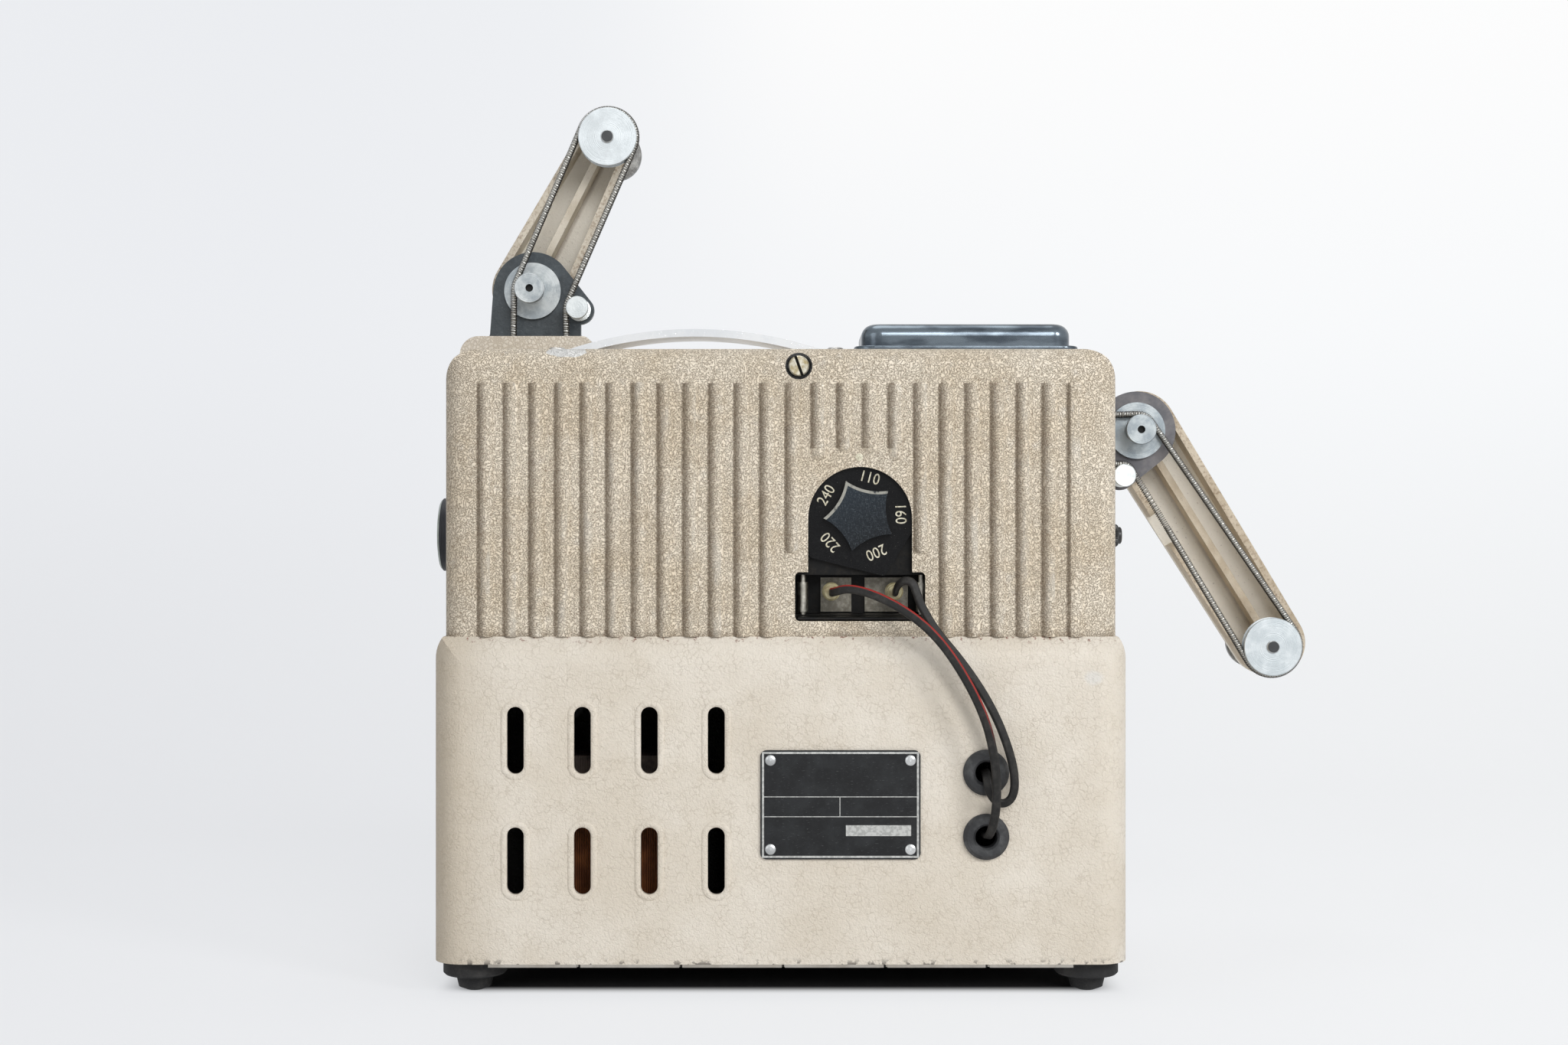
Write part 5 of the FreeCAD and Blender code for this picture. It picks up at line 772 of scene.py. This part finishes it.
def armLook(name, light, dark, pivot, reel):
    # cast arm: speckled rims, a web painted paler to stand in for light reaching it, and patchy painted shade
    # beside the rib, which runs 2.3 mm off the middle
    look = Recipe(name)
    x, y, z = look.parts()
    cloud = look.grain(70, 4.0, 0.65)
    specks = look.grain(820, 4.0, 0.7)
    length = math.dist(pivot, reel)
    heading = ((reel[0] - pivot[0]) / length, (reel[1] - pivot[1]) / length)
    across = abs((x - pivot[0] * mm) * heading[1] - (z - pivot[1] * mm) * heading[0] + 0.0023)
    web = y > 0.0475
    look.base(cloud.above(0.36, 0.68), light, dark)
    # painted light: the web made paler, as if lit deep in its channel
    look.lay(web * 0.85, (250, 246, 236))
    # patchy painted shade beside the rib
    brownShare = web * (1 - across.above(0.0018, 0.0036)) * (0.35 + cloud * 0.8)
    look.lay(brownShare * 0.6, (116, 90, 62))
    rim = (y < 0.0352) * specks.above(0.5, 0.6)
    look.lay(rim * 0.45, (132, 106, 80))
    look.lay(specks.above(0.62, 0.7) * 0.4, (104, 78, 56))
    height = specks * 0.0002 + look.grain(1500, 2.0) * 0.0001
    return look.done(height, rough=0.5 + cloud * 0.16, metal=0.12)


def rubberLook(name, shade, light, rough):
    # matt rubber or ceramic, with dust on it
    look = Recipe(name)
    look.clouded((160, 4.0, 0.6), (0.42, 0.8), shade, light)
    fine = look.grain(1900, 2.0)
    return look.done(rough=rough + fine * 0.15, height=fine * 0.00012)


baseSlots = {"start": -98.73, "pitch": 39.85, "share": 0.012, "reach": 95}


def baseLook():
    # pale base with painted shade in the slots along its edge
    look = Recipe("base paint")
    x, y = look.parts()[:2]
    cloud = look.clouded((90, 4.0, 0.6), (0.35, 0.7), (238, 236, 230), (214, 209, 200))
    along = ((x - baseSlots["start"] * mm) / (baseSlots["pitch"] * mm)).fraction()
    slot = (abs(along - 0.5) < baseSlots["share"]) * (abs(x) < baseSlots["reach"] * mm) * (y < -0.05)
    look.lay(slot, (44, 42, 40))
    grit = look.grain(900, 3.0)
    return look.done(rough=0.5 + cloud * 0.2, metal=0.05, height=grit * 0.00012)


plateMarks = {
    "centre": (23.2, 64.6), "size": (62.1, 42.3), "border": 1.0, "edge": 0.8, "line": 0.34,
    "dividers": (67.7, 60.0), "upright": 23.0, "strip": (25.3, 50.6, 54.6, 4.2),
}


def plateLook():
    # black data plate with its silver lines, left without any words
    look = Recipe("data plate")
    x, z = look.parts()[::2]
    marks = plateMarks
    outX = abs(x - marks["centre"][0] * mm) - (marks["size"][0] / 2 - marks["border"]) * mm
    outZ = abs(z - marks["centre"][1] * mm) - (marks["size"][1] / 2 - marks["border"]) * mm
    half = marks["line"] / 2 * mm
    border = abs(outX.most(outZ)) < marks["edge"] / 2 * mm
    within = (outX < 0) * (outZ < 0)
    high, low = marks["dividers"]
    lines = (abs(z - high * mm) < half).most(abs(z - low * mm) < half)
    lines = lines.most((abs(x - marks["upright"] * mm) < half) * (z < high * mm) * (z > low * mm))
    left, right, middle, tall = marks["strip"]
    strip = (x > left * mm) * (x < right * mm) * (abs(z - middle * mm) < tall / 2 * mm)
    silver = border.most(lines * within).most(strip)
    dust = look.clouded((130, 4.0, 0.65), (0.35, 0.75), (18, 19, 21), (36, 38, 40))
    scratch = look.noise(look.stretch(1, 1, 7), 520, 3.0).above(0.63, 0.7)
    rubbed = look.grain(900, 3.0).above(0.4, 0.6)
    look.lay(scratch * 0.35, (110, 112, 112))
    look.lay(silver * (0.7 + rubbed * 0.3), (196, 197, 194))
    return look.done(
        rough=0.4 + dust * 0.2, metal=silver * 0.6, specular=0.3, height=silver * 0.00006 + dust * 0.00004,
    )


def coilLook():
    # the transformer: paper and varnished wire seen through the slots
    look = Recipe("transformer winding")
    x, z = look.parts()[::2]
    cloud = look.clouded((120, 3.0), (0.35, 0.7), (176, 104, 56), (132, 74, 40))
    turns = (x * 7400).wave()
    look.lay(turns.above(-0.2, 0.5) * 0.55, (60, 34, 22))
    label = (abs(x + 0.0262) < 0.0022) * (abs(z - 0.0334) < 0.0032)
    look.lay(label, (72, 98, 132))
    paper = (abs(x + 0.1025) < 0.0035) * (z < 0.0425)
    look.lay(paper * cloud.above(0.3, 0.5), (150, 148, 128))
    return look.done(rough=0.45 + cloud * 0.2, height=turns * 0.0002)


def coreLook():
    # iron sheets stacked along x, lightly rusted
    look = Recipe("stacked laminations")
    sheets = (look.parts()[0] * 9000).wave()
    look.clouded((200, 3.0), (0.4, 0.7), (96, 84, 76), (58, 50, 46))
    return look.done(rough=0.6, metal=0.4, height=sheets * 0.00006)


knobScoop = {"waist": 10.0, "bow": 22.5, "ledge": 1.1, "dusty": (77, 149)}


def knobLook():
    # star knob: dark glossy moulding with a painted sheen toward the upper left, scratched on its top, with
    # dust in the upper flutes
    look = Recipe("star knob")
    x, y, z = look.parts()
    scratch = look.noise(look.stretch(6, 1, 1), 900, 4.0, 0.65)
    other = look.noise(look.stretch(1, 1, 5), 1100, 3.0)
    top = y < -0.0638
    across, up = middles["selector"]
    away = knobScoop["waist"] + knobScoop["bow"]
    bevels = 0
    for turn in knobScoop["dusty"]:
        at = (across + away * math.cos(math.radians(turn)), up + away * math.sin(math.radians(turn)))
        edge = look.around(x, z, at) - knobScoop["bow"] * mm
        bevels = bevels + (edge < knobScoop["ledge"] * mm) * (edge + 0.0002 > 0)
    marks = scratch.above(0.56, 0.68).most(other.above(0.6, 0.7))
    # painted sheen: the face lighter toward the upper left
    sheen = (0.5 + (z - up * mm) * 34 - (x - across * mm) * 16).least(1.0).most(0.0)
    look.base(sheen, (12, 16, 20), (34, 43, 51))
    look.lay(top * marks * 0.3, (112, 122, 130))
    cloud = look.grain(420, 3.0)
    ledge = bevels.least(1.0) * cloud.above(0.3, 0.5)
    look.lay(ledge * 0.8, (176, 174, 164))
    return look.done(
        rough=0.26 + marks * 0.2, coat=0.1, coatRough=0.12, specular=0.25, height=scratch * 0.00006,
    )


def dialLook():
    # the pentagonal dial: black, glossy, flecked with dust
    look = Recipe("selector dial")
    dust = look.grain(700, 4.0, 0.7)
    fleck = look.grain(2600, 2.0).above(0.68, 0.74)
    look.base(dust.above(0.5, 0.8) * 0.5, (7, 7, 9), (36, 36, 36))
    look.lay(fleck * 0.4, (150, 148, 140))
    return look.done(rough=0.2 + dust * 0.16, specular=0.2, height=dust * 0.00003)


def handleLook():
    # chromed strap, dulled and pitted in places
    look = Recipe("handle chrome")
    cloud = look.clouded((46, 4.0, 0.6), (0.38, 0.7), (250, 250, 250), (232, 234, 236))
    pits = look.grain(1500, 3.0).above(0.66, 0.74)
    look.lay(pits * 0.15, (150, 140, 132))
    return look.done(rough=0.14 + cloud * 0.14, metal=1.0, height=pits * 0.00004)


def blockLook():
    # pressed insulator, dark and dusty
    look = Recipe("pressed insulator")
    dust = look.clouded((300, 4.0, 0.65), (0.4, 0.75), (12, 12, 12), (34, 31, 27))
    return look.done(rough=0.32 + dust * 0.3, specular=0.2, height=dust * 0.00012)


def plugLook():
    # old ivory sleeve, with painted shade where it goes into the selector
    look = Recipe("plug sleeve")
    cloud = look.clouded((420, 3.0), (0.35, 0.7), (176, 168, 132), (132, 118, 84))
    # painted shade deep in the selector's bay
    deep = (look.parts()[1] + 0.052).above(0.0, 0.006)
    look.lay(deep * 0.6, (96, 82, 58))
    return look.done(rough=0.28 + cloud * 0.2, coat=0.3, height=cloud * 0.00008)


def lensLook():
    # black barrel with a bright grey-green rim in front
    look = Recipe("lens barrel")
    x = look.parts()[0]
    ring = look.rings(x, 2200)
    look.clouded((160, 3.0), (0.35, 0.7), (168, 174, 168), (138, 144, 136))
    band = x > -0.1531
    look.lay(band, (30, 32, 40))
    grooves = (x * 9000).wave()
    return look.done(
        rough=0.28 + band * 0.2, metal=1 - band * 0.9, height=ring * 0.00005 + grooves * 0.00003,
    )


def glassLook():
    # clear glass with a little dust
    look = Recipe("clear glass")
    dust = look.grain(500, 3.0)
    return look.done(colour=(0.93, 0.96, 0.97), rough=0.02 + dust * 0.05, clear=1.0, ior=1.5)


def endLook(name, centre, hole, rim, depth):
    # a turned pin whose near end is dark inside a bright ring
    look = Recipe(name)
    x, y, z = look.parts()
    radius = look.around(x, z, centre)
    cloud = look.clouded((300, 3.0), (0.4, 0.7), (122, 122, 121), (168, 168, 166))
    near = y < depth * mm
    look.lay(near * (radius < rim * mm), (196, 198, 198))
    look.lay(near * (radius < hole * mm), (74, 75, 76))
    height = look.rings(radius, lathe["rings"]) * lathe["depth"]
    return look.done(height, rough=0.3 + cloud * 0.2, metal=0.9)


def tipLook():
    # the pivot pins: tips painted black as shade deep in the pulleys' bores, bright heads on the far side
    look = Recipe("pivot pin steel")
    y = look.parts()[1]
    cloud = look.clouded((200, 3.0), (0.4, 0.7), (112, 112, 112), (160, 160, 158))
    # painted shade: the tips black where they sit deep in the bores
    tip = y < 0.0295
    look.lay(tip, (10, 10, 10))
    return look.done(rough=0.3 + cloud * 0.2 + tip * 0.3, metal=1 - tip)


coverScrew = {"lean": 20, "slot": 1.1}


def screwLook():
    # brassy screw with painted shade in its dark slot, a little off upright
    look = Recipe("cover screw")
    x, z = look.parts()[::2]
    cloud = look.clouded((400, 4.0, 0.6), (0.35, 0.7), (206, 202, 188), (150, 136, 100))
    centre = middles["coverScrew"]
    radius = look.around(x, z, centre)
    lean = math.radians(coverScrew["lean"])
    slot = abs((x - centre[0] * mm) * math.cos(lean) + (z - centre[1] * mm) * math.sin(lean))
    # painted shade in the slot
    look.lay(slot < coverScrew["slot"] / 2 * mm, (26, 24, 20))
    height = look.rings(radius, lathe["rings"]) * lathe["depth"]
    return look.done(height, rough=0.28 + cloud * 0.2, metal=0.9)


def stripLook(name, shade, light):
    # brushed contact metal, tarnished in clouds
    look = Recipe(name)
    cloud = look.clouded((380, 4.0, 0.65), (0.4, 0.7), shade, light)
    brushed = look.noise(look.stretch(1, 1, 9), 900, 3.0)
    return look.done(rough=0.26 + cloud * 0.25, metal=1.0, height=brushed * 0.00005)


oneOffs = {
    "rear_cover": coverLook, "lower_housing": housingLook, "front_casting": castingLook,
    "base_plate": baseLook, "cover_screw": screwLook, "rating_plate": plateLook,
    "contact_block": blockLook, "lead_plugs": plugLook,
    "voltage_dial": dialLook, "star_knob": knobLook, "carry_handle": handleLook, "top_lid": lidLook,
    "arm_pivot_pins": tipLook, "transformer_coil": coilLook, "lens_barrel": lensLook,
}
for name, look in oneOffs.items():
    dress(look(), name)
dress(coreLook(), "transformer_core", "motor_stator", "motor_rotor")
dress(glassLook(), "lens_glass", "condenser_lens", "projection_lamp")

# the arms and what turns on them: a lighter and a darker tone for each finish
armTones = {
    "upper": {
        "arm": ((214, 205, 189), (196, 185, 166)), "reel": ((188, 193, 195), (206, 211, 213)),
        "pivot": ((150, 157, 161), (196, 200, 200)), "idler": ((196, 201, 202), (216, 220, 220)),
    },
    "lower": {
        "arm": ((208, 195, 174), (186, 170, 146)), "reel": ((184, 191, 194), (206, 211, 213)),
        "pivot": ((138, 146, 151), (178, 184, 186)), "idler": ((206, 212, 212), (234, 237, 237)),
    },
}
spindleEnd = {"hole": 2.4, "rim": 2.8, "depth": 30}
for side, finishes in armTones.items():
    pivot, reel, idler = (arms[side][key] for key in ("pivot", "reel", "idler"))
    dress(armLook(side + " arm casting", *finishes["arm"], pivot, reel), side + "_arm")
    dress(bareMetal(side + " reel zinc", *finishes["reel"], 0.36, reel, mottle=150), side + "_reel_pulley")
    zinc = bareMetal(side + " pivot zinc", *finishes["pivot"], 0.34, pivot, mottle=120)
    dress(zinc, side + "_pivot_pulley")
    dress(bareMetal(side + " idler metal", *finishes["idler"], 0.3, idler), side + "_idler")
    dress(endLook(side + " spindle steel", reel, **spindleEnd), side + "_spindle")

strips = {
    "contact_strips": ("contact strip", (112, 108, 98), (146, 142, 132)),
    "contact_clips": ("contact clip", (150, 147, 138), (192, 189, 180)),
}
for name, (title, shade, light) in strips.items():
    dress(stripLook(title, shade, light), name)

rubbers = {
    "rubber_feet": ("foot rubber", (24, 24, 25), (52, 51, 50), 0.7),
    "lead_grommets": ("grommet rubber", (38, 39, 41), (84, 85, 86), 0.5),
    "shutter_belt": ("belt rubber", (30, 29, 28), (54, 52, 50), 0.6),
    "lamp_socket": ("lamp base ceramic", (214, 208, 196), (186, 178, 164), 0.4),
}
for name, (title, shade, light, rough) in rubbers.items():
    dress(rubberLook(title, shade, light, rough), name)

enamels = {
    "upper_arm_bracket": ("bracket enamel", (50, 58, 63), (72, 80, 85), 0.36),
    "control_knob": ("control moulding", (26, 26, 27), (48, 48, 48), 0.3),
    "lamp_house": ("lamp house paint", (40, 40, 42), (62, 62, 62), 0.5),
}
for name, (title, shade, light, rough) in enamels.items():
    dress(blackEnamel(title, shade, light, rough), name)

# other metals: title, two tones, roughness, what else is said of them, and the nodes they dress
brass, steel = ((186, 150, 84), (214, 184, 120)), ((186, 188, 190), (220, 222, 224))
onMotor = {"centre": middles["motor"], "plane": "yz"}
onShutter = {"centre": middles["shutter"], "plane": "yz", "mottle": 80, "metal": 0.8}
onUpper, onLower = ({"centre": middles[name]} for name in ("upperSprocket", "lowerSprocket"))
metals = [
    ("rivet metal", (176, 178, 178), (218, 220, 220), 0.25, {}, ["plate_rivets"]),
    ("pin steel", (172, 170, 166), (208, 206, 202), 0.25, {}, ["handle_pins"]),
    ("bracket steel", (96, 96, 100), (126, 123, 124), 0.45, {"mottle": 90, "metal": 0.5},
     ["lower_arm_bracket"]),
    ("shaft steel", (150, 150, 150), (196, 196, 194), 0.25, onMotor, ["motor_shaft"]),
    ("shutter steel", (58, 58, 60), (92, 92, 92), 0.45, onShutter, ["shutter_shaft", "shutter_disc"]),
    ("fan alloy", (168, 170, 172), (200, 202, 204), 0.35, onMotor, ["cooling_fan"]),
    ("gear fibre and brass", *brass, 0.3, onUpper, ["upper_worm_wheel"]),
    ("lower gear brass", *brass, 0.3, onLower, ["lower_worm_wheel"]),
    ("upper sprocket steel", *steel, 0.22, onUpper, ["upper_sprocket", "belt_drive_pulley"]),
    ("lower sprocket steel", *steel, 0.22, onLower, ["lower_sprocket"]),
    ("shoe alloy", (196, 198, 198), (226, 228, 228), 0.3, {}, ["sprocket_shoes", "gate_block"]),
    ("holder alloy", (150, 152, 150), (190, 192, 190), 0.35, {}, ["lens_holder"]),
]
for title, shade, light, rough, more, dressed in metals:
    dress(bareMetal(title, shade, light, rough, **more), *dressed)

plain = [name for name in nodes if not nodes[name].data.materials or not nodes[name].data.materials[0].name]
print("metals and paints ready; without one:", plain)

# soft raised lips round the eight vents
vents = {
    "first": -103.0, "pitch": 26.0, "columns": 4, "rows": (42.7, 89.5), "width": 6.6, "height": 26.1,
    "face": -66.5, "lip": 1.2, "around": 0.1, "flat": 0.45, "proud": 0.06,
}


def makeVentLips():
    lips = []
    reach = (vents["height"] - vents["width"]) / 2
    ring = vents["width"] / 2 + vents["lip"] + vents["around"]
    for column in range(vents["columns"]):
        for z in vents["rows"]:
            calm()
            bpy.ops.mesh.primitive_torus_add(
                major_segments=32, minor_segments=10, major_radius=ring * mm, minor_radius=vents["lip"] * mm,
                rotation=(math.pi / 2, 0, 0),
            )
            lip = bpy.context.object
            lip.scale = (1, 1, vents["flat"])
            freeze(lip)
            for side in (1, -1):
                select(lip, lambda corner: corner.co.z * side > 0.00001)
                bpy.ops.transform.translate(value=(0, 0, side * reach * mm))
                leaveEdit()
            x = vents["first"] + column * vents["pitch"]
            lips.append(setDown(lip, (x, vents["face"] + vents["proud"], z)))
    return gather("ventLips", lips)


casePaint = nodes["lower_housing"].data.materials[0]
finishPiece(makeVentLips(), "ventLips", "case", casePaint, 60)

# numbers round the selector's dial, each with its angle from the top and its distance from the middle
dial = {
    "face": -59.6, "size": 6.2, "narrow": 0.86, "apart": 1.03, "thick": 0.05,
    "numbers": {
        "110": (14.5, 15.0), "160": (88, 15.8), "200": (156.5, 15.8), "220": (227.5, 15.6),
        "240": (300.5, 15.2),
    },
}


def creamLook():
    # cream paint in the dial's numbers, and the index dot
    look = Recipe("cream filling")
    worn = look.clouded((1400, 3.0), (0.4, 0.7), (226, 221, 200), (184, 176, 150))
    return look.done(rough=0.5 + worn * 0.2)


cream = creamLook()


def makeNumbers():
    made = []
    for words, (angle, radius) in dial["numbers"].items():
        calm()
        bpy.ops.object.text_add()
        text = bpy.context.object
        text.data.body = words
        text.data.size = dial["size"] * mm
        text.data.align_x = "CENTER"
        text.data.align_y = "CENTER"
        text.data.extrude = dial["thick"] * mm
        text.data.space_character = dial["apart"]
        bpy.ops.object.convert(target="MESH")
        word = bpy.context.object
        word.scale = (dial["narrow"], 1, 1)
        freeze(word)
        word.location = (0, radius * mm, 0)
        freeze(word)
        word.rotation_euler = (0, 0, -math.radians(angle))
        freeze(word)
        word.rotation_euler = (math.pi / 2, 0, 0)
        word.location = (middles["selector"][0] * mm, dial["face"] * mm, middles["selector"][1] * mm)
        made.append(freeze(word))
    return gather("dialNumbers", made)


finishPiece(makeNumbers(), "dialNumbers", "selector", cream, 60)

# small white index dot on the case above the dial
indexDot = {"at": (30.7, -62.5, 199.6), "steps": [(0, 1.5), (0.12, 1.5), (0.2, 1.2)]}
dot = setDown(raiseRound("indexDot", indexDot["steps"], 24), indexDot["at"], (90, 0, 0))
finishPiece(dot, "indexDot", "case", cream, 40)

# knurled knob on the motor shaft's end
inchingKnob = {
    "left": 137.0, "sides": 72, "edge": 4.5, "groove": 0.93,
    "steps": [(0, 4.2), (0.5, 4.75), (5.2, 4.75), (5.8, 4.3), (5.8, 3.6), (6.9, 3.6), (7.3, 3.1)],
}


def makeInchingKnob():
    knob = raiseRound("inchingKnob", inchingKnob["steps"], inchingKnob["sides"])

    def everySecond(corner):
        turn = math.atan2(corner.co.y, corner.co.x) / (2 * math.pi) * inchingKnob["sides"]
        return corner.co.xy.length > inchingKnob["edge"] * mm and round(turn) % 2 == 0

    select(knob, everySecond)
    groove = inchingKnob["groove"]
    bpy.ops.transform.resize(value=(groove, groove, 1), center_override=(0, 0, 0))
    leaveEdit()
    return setDown(knob, (inchingKnob["left"], *middles["motor"]), (0, 90, 0))


knurled = blackEnamel("knurled moulding", (24, 24, 25), (60, 60, 60), 0.3)
knurledKnob = finishPiece(makeInchingKnob(), "knurledKnob", "motor", knurled, 25)
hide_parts("inching_knob")
print("details made")
